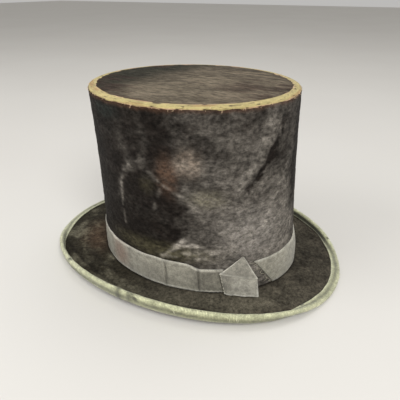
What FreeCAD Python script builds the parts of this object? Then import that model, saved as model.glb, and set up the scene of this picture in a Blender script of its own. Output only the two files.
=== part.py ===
import FreeCAD, Part
import functools
import math
import os

import Sketcher

# Top hat: a stiff oval crown and curled brim of shellacked cloth, covered with silk plush,
# bound and banded with ribbon, and fitted inside with a lining and a leather sweatband.
# Millimetres. +Z up, front of the hat at -Y, the wearer's left at +X, Z = 0 where the brim rests.

Vector = FreeCAD.Vector
Rotation = FreeCAD.Rotation
Placement = FreeCAD.Placement

# Driving dimensions: alias, value, meaning
DIMENSIONS = [
    ("base_half_width", 84.0, "outside of the crown where it meets the brim, side to side"),
    ("base_half_length", 104.6, "the same, front to back"),
    ("tip_half_width", 91.2, "outside of the crown at its flat top, side to side"),
    ("tip_half_length", 98.1, "the same, front to back"),
    ("base_setback", 4.9, "how far the crown's base sits behind the middle of the brim"),
    ("tip_shift", 3.6, "how far the flat top sits forward of the base"),
    ("waist", 1.7, "how far the wall draws in at half height"),
    ("brim_level", 6.75, "upper face of the brim at the crown"),
    ("crown_rise", 172.5, "flat top above the brim"),
    ("plush_thick", 0.8, "silk plush with its backing"),
    ("shell_thick", 1.4, "shellacked cloth of the crown"),
    ("lining_thick", 0.4, "lining cloth"),
    ("layer_gap", 0.1, "glue line left free between two layers"),
    ("edge_round", 7.0, "how far in from the wall the rounded top edge reaches"),
    ("edge_fall", 2.2, "how far the rounded edge falls from the flat top to the wall"),
    ("edge_drop", 2.8, "lower border of the bared strip, below the flat top"),
    ("strip_rise", 12.0, "height of the strip that joins crown and brim"),
    ("strip_thick", 0.3, "its thickness"),
    ("brim_half_width", 120.3, "edge of the brim board, side to side"),
    ("brim_half_length", 155.4, "the same, front to back"),
    ("board_thick", 1.6, "brim board"),
    ("under_thick", 0.6, "cloth under the brim"),
    ("brim_fullness", 0.012, "share by which the brim is fuller than an oval at its four quarters"),
    ("curl_length", 14.0, "length of the curl at the sides, measured across the brim"),
    ("curl_least", 0.2, "length of the curl at front and back, as a share of that"),
    ("curl_angle", 80.0, "how far the sides of the brim turn up, degrees"),
    ("lip_length", 2.6, "straight edge beyond the curl"),
    ("side_lift", 2.2, "rise of the brim from the crown to its edge at the sides, without the curl"),
    ("end_droop", 3.46, "fall of the brim from the crown to its edge at front and back"),
    ("ribbon_thick", 0.7, "brim binding"),
    ("binding_over", 6.5, "width of the binding on the upper face of the brim"),
    ("binding_under", 9.5, "width of the binding on the under face"),
    ("band_height", 30.0, "hat band"),
    ("band_thick", 1.2, "its thickness with the turned edges"),
    ("bow_thick", 2.2, "folded ribbon of the flat bow"),
    ("bow_clear", 0.6, "bow clear of the band at its front edge"),
    ("sweat_height", 46.0, "leather sweatband"),
    ("sweat_thick", 1.1, "its thickness"),
    ("sweat_lean", 1.4, "how far its upper edge stands in from its lower edge"),
    ("reed_radius", 0.8, "covered reed along the sweatband's lower edge"),
    ("thread_radius", 0.3, "sewing thread"),
    ("soft_edge", 0.5, "rounding of the flat bow's outer face"),
    ("tack_length", 2.4, "one tacking stitch of the bow"),
    ("stitch_length", 3.0, "one stitch of the sweatband"),
    ("stitch_level", 2.6, "those stitches above the sweatband's lower edge"),
    ("tape_width", 9.0, "tape over the sweatband's seam"),
    ("tape_thick", 0.5, "its thickness"),
    ("tape_margin", 1.0, "leather left bare above and below the tape"),
    ("back_bow_level", 18.0, "middle of the small inside bow above the sweatband's lower edge"),
    ("back_bow_clear", 2.2, "how far that bow stands in from the leather, over the tape"),
]

# Shape of the brim: how its curl dies away from the sides towards front and back
CURL_FALL = 1.4      # power of the share of side that shortens the curl
CURL_FULL = 0.45     # share of side above which the curl is as steep as it gets
LEAST_FALL = 0.5     # least fall of a rounded inner layer at the top edge

# Places and outlines of the ribbon pieces, across and up, in their own flat frames
BOW_ANGLE = math.radians(34.0)
BOW_SWING = 7.0
BOW_CORNERS = [(0.0, 24.0), (5.0, 0.6), (36.0, 0.6), (33.5, 22.0), (20.3, 42.8)]
BAND_OPENING = [(-14.0, -2.0), (34.5, -2.0), (14.0, 34.0), (-14.0, 34.0)]
OPENING_COMPASS = 53.0
BACK_BOW_CORNERS = [(-3.0, 2.5), (-13.0, 6.0), (-13.0, -5.0), (-4.0, -2.0), (-8.5, -10.0),
                    (-4.5, -10.5), (0.0, -3.5), (4.5, -10.5), (8.5, -10.0), (4.0, -2.0),
                    (13.0, -5.0), (13.0, 6.0), (3.0, 2.5)]

# Stitches: where the bow's first tack starts, the step to the next, and how a tack leans
TACK_START = (4.6, 3.0)
TACK_STEP = (-0.9, 4.4)
TACK_LEAN = -0.5
TACKS = 4
SWEAT_STITCHES = 84

# Rings and steps of the shapes that are built from closed curves
RING_POINTS = 48
WALL_STEPS = 4
ROUND_STEPS = 6
FLAT_STEPS = 4
CURL_STEPS = 6
LIP_STEPS = 2
TURN_STEPS = 6
RIBBON_STEPS = 4
FINE_STEPS = 8
FLAT_ROUNDS = 8

# Starting half axes of an oval sketch, before its expressions size it
FIRST_WIDTH, FIRST_LENGTH = 85.0, 100.0

BACK = math.pi / 2
SHEET = "Dimensions"
doc = FreeCAD.newDocument("TopHat")


def make_sheet():
    """The driving dimensions, one row each."""
    sheet = doc.addObject("Spreadsheet::Sheet", SHEET)
    for row, (alias, value, meaning) in enumerate(DIMENSIONS, start=1):
        sheet.set(f"A{row}", alias)
        sheet.set(f"B{row}", str(value))
        sheet.set(f"C{row}", meaning)
        sheet.setAlias(f"B{row}", alias)
    doc.recompute()
    return sheet


sheet = make_sheet()


def size(alias):
    """One driving dimension as a number."""
    return float(getattr(sheet, alias))


def cell(alias):
    """One driving dimension as the text of an expression."""
    return f"{SHEET}.{alias}"


# ---------------------------------------------------------------- ovals of the crown

def level_text(rise):
    """Height of a level, given as a share of the crown's rise."""
    return f"{cell('brim_level')} + {cell('crown_rise')} * {rise:.5f}"


def oval_text(axis, rise, inset):
    """Half width or half length of the crown's outer oval at a level, less an inset."""
    base = cell(f"base_half_{axis}")
    tip = cell(f"tip_half_{axis}")
    draw_in = f"{cell('waist')} * {4 * rise * (1 - rise):.5f}"
    return f"{base} + ({tip} - {base}) * {rise:.5f} - {draw_in} - ({inset})"


def rise_at(height_above_brim):
    """Share of the crown's rise at a height above the brim."""
    return height_above_brim / size("crown_rise")


def crown_point(angle, height, inset=0.0):
    """A point on the crown's wall: oval angle from +X, height above the brim, inset inward."""
    rise = rise_at(height)
    draw_in = size("waist") * 4 * rise * (1 - rise)
    across = size("base_half_width") * (1 - rise) + size("tip_half_width") * rise - draw_in - inset
    along = size("base_half_length") * (1 - rise) + size("tip_half_length") * rise - draw_in - inset
    y = along * math.sin(angle) + size("base_setback") - size("tip_shift") * rise
    return Vector(across * math.cos(angle), y, size("brim_level") + height)


def crown_heading(angle):
    """Compass angle of the wall's outward normal at an oval angle, in radians."""
    return math.atan2(math.sin(angle) / size("base_half_length"), math.cos(angle) / size("base_half_width"))


# ---------------------------------------------------------------- sketches and bodies

def new_body(label):
    body = doc.addObject("PartDesign::Body", label)
    body.Label = label
    return body


def origin_plane(body, role):
    for feature in body.Origin.OriginFeatures:
        if feature.Role == role:
            return feature
    raise ValueError(role)


def new_sketch(body, name, role="XY_Plane"):
    sketch = body.newObject("Sketcher::SketchObject", name)
    sketch.AttachmentSupport = [(origin_plane(body, role), "")]
    sketch.MapMode = "FlatFace"
    return sketch


def oval_sketch(body, name, rise, inset, lift="0"):
    """A level oval of the crown, set in from the outer wall."""
    sketch = new_sketch(body, name)
    sketch.setExpression("AttachmentOffset.Base.z", f"{level_text(rise)} + {lift}")
    middle = f"{cell('base_setback')} - {cell('tip_shift')} * {rise:.5f}"
    sketch.setExpression("AttachmentOffset.Base.y", middle)
    oval = Part.Ellipse(Vector(0, FIRST_LENGTH, 0), Vector(FIRST_WIDTH, 0, 0), Vector(0, 0, 0))
    sketch.addGeometry(oval, False)
    sketch.exposeInternalGeometry(0)
    long_axis, short_axis = 1, 2
    sketch.addConstraint(Sketcher.Constraint("Coincident", 0, 3, -1, 1))
    sketch.addConstraint(Sketcher.Constraint("Vertical", long_axis))
    length = sketch.addConstraint(Sketcher.Constraint("Distance", long_axis, 2 * FIRST_LENGTH))
    width = sketch.addConstraint(Sketcher.Constraint("Distance", short_axis, 2 * FIRST_WIDTH))
    sketch.renameConstraint(length, "full_length")
    sketch.renameConstraint(width, "full_width")
    sketch.setExpression("Constraints.full_length", f"2 * ({oval_text('length', rise, inset)})")
    sketch.setExpression("Constraints.full_width", f"2 * ({oval_text('width', rise, inset)})")
    return sketch


def loft_ovals(body, kind, name, levels):
    """A loft through ovals: levels is a list of (rise, inset, lift)."""
    ovals = [oval_sketch(body, f"{name}_oval{i}", *level) for i, level in enumerate(levels)]
    loft = body.newObject(f"PartDesign::{kind}", name)
    loft.Profile = ovals[0]
    loft.Sections = ovals[1:]
    return loft


def wall_levels(low, high, inset, lean="0", count=5):
    """Evenly spaced levels between two heights above the brim; lean adds inset towards the top."""
    levels = []
    for i in range(count):
        share = i / (count - 1)
        rise = rise_at(low + (high - low) * share)
        levels.append((rise, f"{inset} + ({lean}) * {share}", "0"))
    return levels


def tube(label, low, high, outer_inset, thick, lean="0", count=5):
    """A layer of the crown's wall between two heights above the brim."""
    body = new_body(label)
    loft_ovals(body, "AdditiveLoft", f"{label}_outside", wall_levels(low, high, outer_inset, lean, count))
    inner_inset = f"{outer_inset} + {thick}"
    loft_ovals(body, "SubtractiveLoft", f"{label}_inside", wall_levels(low, high, inner_inset, lean, count))
    return body


def disc(label, top_above_brim, thick, inset):
    """A flat oval layer under the top of the crown."""
    body = new_body(label)
    sketch = oval_sketch(body, f"{label}_outline", 1.0, inset, f"{top_above_brim - size('crown_rise'):.4f}")
    pad = body.newObject("PartDesign::Pad", f"{label}_layer")
    pad.Profile = sketch
    pad.Reversed = True
    pad.setExpression("Length", thick)
    return body


def outline_sketch(body, name, role, corners):
    """A closed outline of straight lines with its corners fixed."""
    sketch = new_sketch(body, name, role)
    count = len(corners)
    for i, corner in enumerate(corners):
        following = corners[(i + 1) % count]
        sketch.addGeometry(Part.LineSegment(Vector(*corner, 0), Vector(*following, 0)), False)
    for i, corner in enumerate(corners):
        sketch.addConstraint(Sketcher.Constraint("Coincident", i, 2, (i + 1) % count, 1))
        sketch.addConstraint(Sketcher.Constraint("DistanceX", -1, 1, i, 1, corner[0]))
        sketch.addConstraint(Sketcher.Constraint("DistanceY", -1, 1, i, 1, corner[1]))
    return sketch


# ---------------------------------------------------------------- sheets between closed rings

def closed_curve(points):
    """A smooth closed curve through points."""
    curve = Part.BSplineCurve()
    curve.interpolate(Points=points, PeriodicFlag=True)
    return Part.Wire(curve.toShape())


def skin(rings):
    """A smooth surface through rings."""
    return Part.makeLoft(rings, False, False, False)


def closing_face(first, second):
    """The narrow face between the end rings of two skins."""
    return Part.makeRuledSurface(first.Edges[0], second.Edges[0])


def closed_sheet(upper, lower):
    """A solid between two skins, closed at their two ends.

    Each skin is a list of stretches, and each stretch a list of rings that ends where the next begins.
    """
    faces = []
    for stretch in upper + lower:
        faces += skin(stretch).Faces
    faces += [closing_face(upper[0][0], lower[0][0]), closing_face(upper[-1][-1], lower[-1][-1])]
    shell = Part.makeShell(faces)
    shell.sewShape()
    solid = Part.makeSolid(shell)
    if solid.Volume < 0:
        solid.reverse()
    return solid


def add_piece(label, shape):
    """A piece whose shape is set directly; its placement comes after its shape."""
    piece = doc.addObject("Part::Feature", label)
    piece.Label = label
    piece.Shape = shape
    piece.Placement = Placement()
    return piece


# ---------------------------------------------------------------- crown

GAP = cell("layer_gap")
PLUSH = cell("plush_thick")
SHELL = cell("shell_thick")
SHELL_INSET = f"{PLUSH} + {GAP}"
STRIP_INSET = f"{PLUSH} + {SHELL} + 2 * {GAP}"
LINING_INSET = f"{STRIP_INSET} + {cell('strip_thick')} + {GAP}"
SWEAT_INSET = f"{LINING_INSET} + {cell('lining_thick')} + 3 * {GAP}"

gap = size("layer_gap")
top = size("crown_rise")
cap_top = top - size("plush_thick") - gap
board_top = -size("plush_thick")


crown_plush = tube("crown_plush", gap, top - size("edge_drop") - gap, "0", PLUSH)
tip_shell = disc("tip_shell", cap_top, SHELL, f"{cell('edge_round')} + {GAP}")
tip_plush = disc("tip_plush", top, PLUSH, f"{cell('edge_round')} + {GAP}")


def wall_ring(height, inset):
    """A level closed curve set in from the crown's outer wall."""
    return closed_curve([crown_point(2 * math.pi * i / RING_POINTS, height, inset)
                         for i in range(RING_POINTS)])


def rounded_skin(low, inset):
    """Two stretches of rings: up the wall, then round the top edge as far as the flat top."""
    reach = size("edge_round") - inset
    fall = max(size("edge_fall") - inset, LEAST_FALL)
    spring = top - inset - fall
    wall = [wall_ring(low + (spring - low) * i / WALL_STEPS, inset) for i in range(WALL_STEPS)]
    corner = []
    for i in range(ROUND_STEPS + 1):
        turn = math.pi / 2 * i / ROUND_STEPS
        corner.append(wall_ring(spring + fall * math.sin(turn), inset + reach * (1 - math.cos(turn))))
    return [wall + corner[:1], corner]


def rounded_wall(label, low, inset, thick):
    """A layer of the wall that turns in over the top."""
    outer = rounded_skin(low, inset)
    inner = rounded_skin(low, inset + thick)
    return add_piece(label, closed_sheet(outer, inner))


crown_shell = rounded_wall("crown_shell", board_top + gap, size("plush_thick") + gap,
                           size("shell_thick"))
tip_edge_strip = rounded_wall("tip_edge_strip", top - size("edge_drop"), 0.0,
                              size("plush_thick"))
joint_strip = tube("crown_joint_strip", board_top + gap, size("strip_rise"), STRIP_INSET,
                   cell("strip_thick"), count=3)

# ---------------------------------------------------------------- lining and sweatband

lining_top = top - size("edge_fall") - size("plush_thick") - size("shell_thick")
side_lining = tube("side_lining", 0.0, lining_top, LINING_INSET, cell("lining_thick"))
tip_lining = disc("tip_lining", lining_top + gap + size("lining_thick"), cell("lining_thick"), LINING_INSET)
sweatband = tube("sweatband", 0.0, size("sweat_height"), SWEAT_INSET, cell("sweat_thick"),
                 cell("sweat_lean"), count=3)


def sweat_inset(height):
    """How far the sweatband's inner face stands in from the crown's outer wall."""
    layers = size("plush_thick") + size("shell_thick") + size("strip_thick") + size("lining_thick")
    lean = size("sweat_lean") * height / size("sweat_height")
    return layers + 6 * gap + size("sweat_thick") + lean


# ---------------------------------------------------------------- brim

def turn_up(angle):
    """How far the brim is turned up at an oval angle: 1 at the sides, 0 at front and back."""
    return math.cos(angle) ** 2


def brim_span(angle):
    """The brim's inner and outer oval points at an oval angle."""
    inner = Vector(size("base_half_width") * math.cos(angle),
                   size("base_half_length") * math.sin(angle) + size("base_setback"), 0)
    fuller = 1 + size("brim_fullness") * math.sin(2 * angle) ** 2
    outer = Vector(size("brim_half_width") * math.cos(angle),
                   size("brim_half_length") * math.sin(angle), 0)
    return inner, outer * fuller


def curl_length(angle):
    """Length of the curl across the brim: longest at the sides."""
    least = size("curl_least")
    return size("curl_length") * (least + (1 - least) * turn_up(angle) ** CURL_FALL)


def curl_angle(angle):
    """How steeply the brim ends, in radians: full over the sides, nothing at front and back."""
    share = min(turn_up(angle) / CURL_FULL, 1.0)
    return math.radians(size("curl_angle")) * share * share * (3 - 2 * share)


def slope_at(distance, flat, angle):
    """Slope of the brim, in radians, at a distance across it from the crown."""
    share = turn_up(angle)
    curl = curl_length(angle)
    lift = size("side_lift") * share - size("end_droop") * (1 - share)
    lift /= flat + 2 * (curl + size("lip_length"))
    if distance <= flat:
        return 2 * lift * max(distance, 0.0) / flat
    through = min((distance - flat) / curl, 1.0)
    return 2 * lift + curl_angle(angle) * through * through * (3 - 2 * through)


def travel(start, end, flat, angle):
    """Travel outward and upward between two distances across the brim."""
    step = (end - start) / FINE_STEPS
    slopes = [slope_at(start + (i + 0.5) * step, flat, angle) for i in range(FINE_STEPS)]
    out = sum(math.cos(slope) for slope in slopes) * step
    rise = sum(math.sin(slope) for slope in slopes) * step
    return out, rise


def path(distance, flat, angle):
    """Travel outward and upward from the crown to a distance across the brim."""
    curl_end = flat + curl_length(angle)
    out, rise = travel(0.0, min(distance, flat), flat, angle)
    if distance > flat:
        more = travel(flat, min(distance, curl_end), flat, angle)
        out, rise = out + more[0], rise + more[1]
    if distance > curl_end:
        more = travel(curl_end, distance, flat, angle)
        out, rise = out + more[0], rise + more[1]
    return out, rise


@functools.lru_cache(maxsize=None)
def flat_length(angle):
    """Length of the flat part of the brim, so that the edge lands on the outer outline."""
    inner, outer = brim_span(angle)
    width = (outer - inner).Length
    beyond = curl_length(angle) + size("lip_length")
    flat = width - beyond / 2
    for _ in range(FLAT_ROUNDS):
        out, _rise = path(flat + beyond, flat, angle)
        flat += width - out
    return flat


def at_station(station):
    """A line round the brim. Station 0 is the crown, 1 the start of the curl, 2 its end, 3 the edge."""
    def distance(angle):
        across = flat_length(angle) * min(station, 1) + curl_length(angle) * min(max(station - 1, 0), 1)
        return across + size("lip_length") * max(station - 2, 0)
    return distance


def from_edge(inset):
    """A line round the brim at a constant width in from its edge."""
    def distance(angle):
        return flat_length(angle) + curl_length(angle) + size("lip_length") - inset
    return distance


def brim_middle(angle, distance):
    """The middle of the board at a distance across the brim."""
    inner, outer = brim_span(angle)
    out, rise = path(distance, flat_length(angle), angle)
    middle_level = size("brim_level") - size("plush_thick") - size("board_thick") / 2
    point = inner + (outer - inner).normalize() * out
    return Vector(point.x, point.y, middle_level + rise)


def brim_point(angle, line, offset):
    """A point of a line round the brim, at an offset above the middle of the board."""
    turn, move = 0.01, 0.05
    distance = line(angle)
    ahead = brim_middle(angle + turn, line(angle + turn))
    around = ahead - brim_middle(angle - turn, line(angle - turn))
    across = brim_middle(angle, distance + move) - brim_middle(angle, distance - move)
    return brim_middle(angle, distance) + across.cross(around).normalize() * offset


def ring(line, offset):
    """A closed curve that follows a line round the brim."""
    return closed_curve([brim_point(2 * math.pi * i / RING_POINTS, line, offset)
                         for i in range(RING_POINTS)])


def stations(first, last):
    """Three stretches of stations from first to last: the flat, the curl and the straight edge."""
    flat = [first + (1 - first) * i / FLAT_STEPS for i in range(FLAT_STEPS + 1)]
    curl = [1 + i / CURL_STEPS for i in range(CURL_STEPS + 1)]
    edge = [2 + (last - 2) * i / LIP_STEPS for i in range(LIP_STEPS + 1)]
    return [flat, curl, edge]


def inset_station(inset):
    """Station of a point inside the crown's outer oval."""
    return -inset / flat_length(0.0)


half_board = size("board_thick") / 2
brim_top = half_board + size("plush_thick")
brim_under = -half_board - size("under_thick")
shell_inner = inset_station(size("plush_thick") + size("shell_thick") + gap)


def brim_layer(label, first, last, low, high):
    """A layer of the brim between two offsets from the middle of the board."""
    marks = stations(first, last)
    upper = [[ring(at_station(mark), high) for mark in stretch] for stretch in marks]
    lower = [[ring(at_station(mark), low) for mark in stretch] for stretch in marks]
    return add_piece(label, closed_sheet(upper, lower))


brim_shell = brim_layer("brim_shell", shell_inner, 3.0, -half_board, half_board)
brim_plush = brim_layer("brim_plush", inset_station(size("plush_thick")), 3.0,
                        half_board + gap / 2, brim_top)
brim_under_cover = brim_layer("brim_under_cover", shell_inner, 3.0, brim_under,
                              -half_board - gap / 2)


def edge_insets(width):
    """Widths in from the brim's edge, from an edge of the binding out to the brim's edge."""
    lip = size("lip_length")
    inner = [lip + (width - lip) * (1 - i / RIBBON_STEPS) for i in range(RIBBON_STEPS)]
    return inner + [lip, lip / 2, 0.0]


def edge_rings(clearance):
    """Rings of a skin that runs over the brim, round its edge and back under it."""
    over = [ring(from_edge(inset), brim_top + clearance) for inset in edge_insets(size("binding_over"))]
    insets = reversed(edge_insets(size("binding_under")))
    under = [ring(from_edge(inset), brim_under - clearance) for inset in insets]
    middle = (brim_top + brim_under) / 2
    reach = (brim_top - brim_under) / 2 + clearance
    turn = []
    for i in range(1, TURN_STEPS):
        swing = math.pi / 2 - math.pi * i / TURN_STEPS
        turn.append(ring(from_edge(-reach * math.cos(swing)), middle + reach * math.sin(swing)))
    return over + turn + under


def make_binding():
    """Grosgrain ribbon folded over the edge of the brim."""
    outer = edge_rings(gap / 2 + size("ribbon_thick"))
    inner = edge_rings(gap / 2)
    return add_piece("brim_binding", closed_sheet([outer], [inner]))


brim_binding = make_binding()


# ---------------------------------------------------------------- hat band and flat bow

def cut_band_opening(body):
    """The gap in the band behind the flat bow, with the slanted ribbon end on its rear side."""
    level = size("brim_level")
    corners = [(across, level + up) for across, up in BAND_OPENING]
    sketch = outline_sketch(body, "band_opening_outline", "XZ_Plane", corners)
    sketch.AttachmentOffset = Placement(Vector(0, 0, 0), Rotation(Vector(0, 1, 0), 90 + OPENING_COMPASS))
    doc.recompute()
    before = body.Shape.Volume
    pocket = body.newObject("PartDesign::Pocket", "band_opening")
    pocket.Profile = sketch
    pocket.Reversed = True
    pocket.setExpression("Length", cell("brim_half_length"))
    doc.recompute()
    if not body.Shape.Volume < before - 1:
        raise ValueError("the band opening cuts nothing")


def make_hat_band():
    """Ribbon round the foot of the crown, open behind the bow."""
    inset = f"-({cell('band_thick')} + {GAP})"
    body = tube("hat_band", gap, size("band_height"), inset, cell("band_thick"), count=3)
    cut_band_opening(body)
    return body


def bow_placement():
    """The bow is flat: it touches the band at its front edge and stands clear behind."""
    stand_off = size("band_thick") + size("bow_clear")
    foot = crown_point(BOW_ANGLE, 0.0, -stand_off)
    compass = math.degrees(crown_heading(BOW_ANGLE)) - BOW_SWING
    return Placement(foot, Rotation(Vector(0, 0, 1), compass + 90))


def make_bow_tab():
    """Folded ribbon tab with a pointed top."""
    body = new_body("bow_tab")
    sketch = outline_sketch(body, "bow_outline", "XZ_Plane", BOW_CORNERS)
    pad = body.newObject("PartDesign::Pad", "bow_layers")
    pad.Profile = sketch
    pad.setExpression("Length", cell("bow_thick"))
    doc.recompute()
    round_over = body.newObject("PartDesign::Fillet", "bow_soft_edges")
    round_over.Base = (pad, ["Face" + str(len(pad.Shape.Faces))])
    round_over.setExpression("Radius", cell("soft_edge"))
    body.Placement = bow_placement()
    return body


def thread(start, end):
    """One visible stitch: a short bar of sewing thread."""
    span = end - start
    return Part.makeCylinder(size("thread_radius"), span.Length, start, span)


def group(label, solids):
    """Identical small pieces kept together as separate solids."""
    return add_piece(label, Part.makeCompound(solids))


def make_bow_stitches():
    """Upright stitches that tack the front edge of the bow to the band."""
    place = bow_placement()
    proud = -(size("bow_thick") + size("thread_radius") + gap)
    stitches = []
    for i in range(TACKS):
        low = Vector(TACK_START[0] + i * TACK_STEP[0], proud, TACK_START[1] + i * TACK_STEP[1])
        high = low + Vector(TACK_LEAN, 0, size("tack_length"))
        stitches.append(thread(place.multVec(low), place.multVec(high)))
    return group("bow_stitches", stitches)


hat_band = make_hat_band()
bow_tab = make_bow_tab()
bow_stitches = make_bow_stitches()

# ---------------------------------------------------------------- inside fittings

def make_reed():
    """Covered reed that carries the lower edge of the sweatband."""
    body = new_body("sweatband_reed")
    drop = size("reed_radius") + gap
    inset = sweat_inset(0) - size("sweat_thick") / 2
    spine = oval_sketch(body, "reed_line", 0.0, f"{inset}", f"-{drop}")
    section = new_sketch(body, "reed_section", "XZ_Plane")
    centre = Vector(size("base_half_width") - inset, size("brim_level") - drop, 0)
    section.addGeometry(Part.Circle(centre, Vector(0, 0, 1), size("reed_radius")), False)
    section.setExpression("AttachmentOffset.Base.z", f"-{cell('base_setback')}")
    section.addConstraint(Sketcher.Constraint("DistanceX", -1, 1, 0, 3, centre.x))
    section.addConstraint(Sketcher.Constraint("DistanceY", -1, 1, 0, 3, centre.y))
    radius = section.addConstraint(Sketcher.Constraint("Radius", 0, size("reed_radius")))
    section.renameConstraint(radius, "reed_radius")
    section.setExpression("Constraints.reed_radius", cell("reed_radius"))
    pipe = body.newObject("PartDesign::AdditivePipe", "reed_sweep")
    pipe.Profile = section
    pipe.Spine = spine
    return body


def make_sweat_stitches():
    """Running stitch along the lower edge of the sweatband."""
    height = size("stitch_level")
    half = size("stitch_length") / 2
    inset = sweat_inset(height) + size("thread_radius") + gap
    stitches = []
    for i in range(SWEAT_STITCHES):
        angle = 2 * math.pi * (i + 0.5) / SWEAT_STITCHES
        middle = crown_point(angle, height, inset)
        heading = crown_heading(angle) + math.pi / 2
        along = Vector(math.cos(heading), math.sin(heading), 0) * half
        stitches.append(thread(middle - along, middle + along))
    return group("sweatband_stitches", stitches)


def make_seam_tape():
    """Tape over the seam at the back of the sweatband."""
    low = size("tape_margin")
    high = size("sweat_height") - low
    ring_body = tube("seam_tape_ring", low, high, f"{sweat_inset(0) + gap}", cell("tape_thick"),
                     cell("sweat_lean"), count=3)
    window = doc.addObject("Part::Box", "seam_tape_window")
    window.setExpression("Length", cell("tape_width"))
    window.setExpression("Width", f"2 * {cell('base_half_length')}")
    window.setExpression("Height", f"2 * {cell('sweat_height')}")
    window.setExpression("Placement.Base.x", f"-{cell('tape_width')} / 2")
    tape = doc.addObject("Part::Common", "sweatband_seam_tape")
    tape.Base = ring_body
    tape.Tool = window
    return tape


reed = make_reed()
sweat_stitches = make_sweat_stitches()
seam_tape = make_seam_tape()


def make_back_bow():
    """Small flat ribbon bow sewn inside at the back of the sweatband."""
    body = new_body("sweatband_bow")
    sketch = outline_sketch(body, "back_bow_outline", "XZ_Plane", BACK_BOW_CORNERS)
    pad = body.newObject("PartDesign::Pad", "back_bow_ribbon")
    pad.Profile = sketch
    pad.setExpression("Length", cell("band_thick"))
    level = size("back_bow_level")
    inset = sweat_inset(level) + size("back_bow_clear")
    body.Placement = Placement(crown_point(BACK, level, inset), Rotation())
    return body


back_bow = make_back_bow()

# ---------------------------------------------------------------- check and export

PIECES = [crown_shell, tip_shell, crown_plush, tip_plush, tip_edge_strip, joint_strip, brim_shell,
          brim_plush, brim_under_cover, brim_binding, hat_band, bow_tab, bow_stitches, side_lining,
          tip_lining, sweatband, reed, sweat_stitches, seam_tape, back_bow]


def check_document():
    """Stop if any object failed or any piece is missing or broken."""
    doc.recompute()
    for item in doc.Objects:
        if "Invalid" in item.State or "Error" in item.State:
            raise ValueError(f"{item.Label} failed")
    for piece in PIECES:
        shape = piece.Shape
        if shape.isNull() or not shape.isValid() or not shape.Solids:
            raise ValueError(f"{piece.Label} has no sound solid")


def export_pieces():
    os.makedirs("parts", exist_ok=True)
    for piece in PIECES:
        piece.Shape.exportStep(os.path.join("parts", piece.Label + ".step"))


check_document()
export_pieces()
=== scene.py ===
"""Looks of an old silk top hat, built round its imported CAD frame.

Geometry helpers work in millimetres in the row frame: +Z up, front of the hat at -Y, the wearer's left
at +X. Meshes are stored in metres. Oval angles run from +X towards +Y. Heights are above the upper face
of the brim at the crown.
"""

import math

import bmesh
import bpy
import numpy as np
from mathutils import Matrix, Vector


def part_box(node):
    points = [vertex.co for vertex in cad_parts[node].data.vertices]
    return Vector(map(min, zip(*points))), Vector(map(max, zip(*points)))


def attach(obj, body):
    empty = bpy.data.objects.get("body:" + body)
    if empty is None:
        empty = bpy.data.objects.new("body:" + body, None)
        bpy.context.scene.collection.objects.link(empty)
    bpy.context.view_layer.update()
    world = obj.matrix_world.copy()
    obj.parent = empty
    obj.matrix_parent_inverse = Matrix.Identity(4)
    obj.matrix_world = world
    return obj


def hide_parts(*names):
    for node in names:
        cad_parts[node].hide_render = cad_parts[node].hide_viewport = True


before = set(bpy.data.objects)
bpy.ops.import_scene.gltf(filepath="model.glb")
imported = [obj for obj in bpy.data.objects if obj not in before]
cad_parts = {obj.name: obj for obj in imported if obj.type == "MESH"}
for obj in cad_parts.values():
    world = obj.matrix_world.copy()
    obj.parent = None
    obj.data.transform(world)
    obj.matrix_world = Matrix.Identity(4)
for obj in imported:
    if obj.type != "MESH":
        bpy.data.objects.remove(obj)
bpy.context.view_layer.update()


# ---------------------------------------------------------------- sizes, from the frame

def corners(node):
    """A CAD node's lowest and highest corners, in millimetres."""
    low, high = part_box(node)
    return np.array(low) * 1000, np.array(high) * 1000


GAP = 0.1
PLUSH = 0.8
SHELL = 1.4
WAIST = 1.7
EDGE_ROUND = 7.0
EDGE_FALL = 2.2
BAND_CLEAR = 1.3
HALF_BOARD = 0.8
CURL_LENGTH = 14.0
LIP_LENGTH = 2.6
BINDING_OVER = 6.5
BINDING_UNDER = 9.5
CURL_ANGLE = math.radians(80)
CURL_FULL = 0.45
CURL_LEAST = 0.2
CURL_FALL = 1.4
BRIM_FULLNESS = 0.012
SIDE_LIFT = 2.2
END_DROOP = 3.46

tip_low, tip_high = corners("tip_plush")
band_low, band_high = corners("hat_band")
board_low, board_high = corners("brim_shell")
binding_low, binding_high = corners("brim_binding")
sweat_high = corners("sweatband")[1]

LEVEL = band_low[2] - GAP
RISE = tip_high[2] - LEVEL
BAND_HEIGHT = band_high[2] - LEVEL
SWEAT_HEIGHT = sweat_high[2] - LEVEL
TIP_WIDTH = (tip_high[0] - tip_low[0]) / 2 + EDGE_ROUND + GAP
TIP_LENGTH = (tip_high[1] - tip_low[1]) / 2 + EDGE_ROUND + GAP
TIP_Y = (tip_high[1] + tip_low[1]) / 2
FOOT_Y = (band_high[1] + band_low[1]) / 2
FOOT_LENGTH = (band_high[1] - band_low[1]) / 2 - BAND_CLEAR
BAND_SHARE = BAND_HEIGHT / RISE
FOOT_WIDTH = ((band_high[0] - band_low[0]) / 2 - BAND_CLEAR + 4 * WAIST * BAND_SHARE * (1 - BAND_SHARE)
              - TIP_WIDTH * BAND_SHARE) / (1 - BAND_SHARE)
BRIM_WIDTH = (board_high[0] - board_low[0]) / 2 - HALF_BOARD * math.sin(CURL_ANGLE)
BRIM_LENGTH = (binding_high[1] - binding_low[1]) / 2 - 2.25

COLUMNS = 480
LEAST_TONE = 0.002
ROUND = np.linspace(-math.pi, math.pi, COLUMNS, endpoint=False)


# ---------------------------------------------------------------- small mathematics

def evenly(count):
    """Evenly spaced values from 0 to 1, as a column."""
    return np.linspace(0, 1, count)[:, None]


def smooth(value, low, high):
    """0 below low, 1 above high, eased between."""
    share = np.clip((value - low) / (high - low), 0, 1)
    return share * share * (3 - 2 * share)


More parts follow.
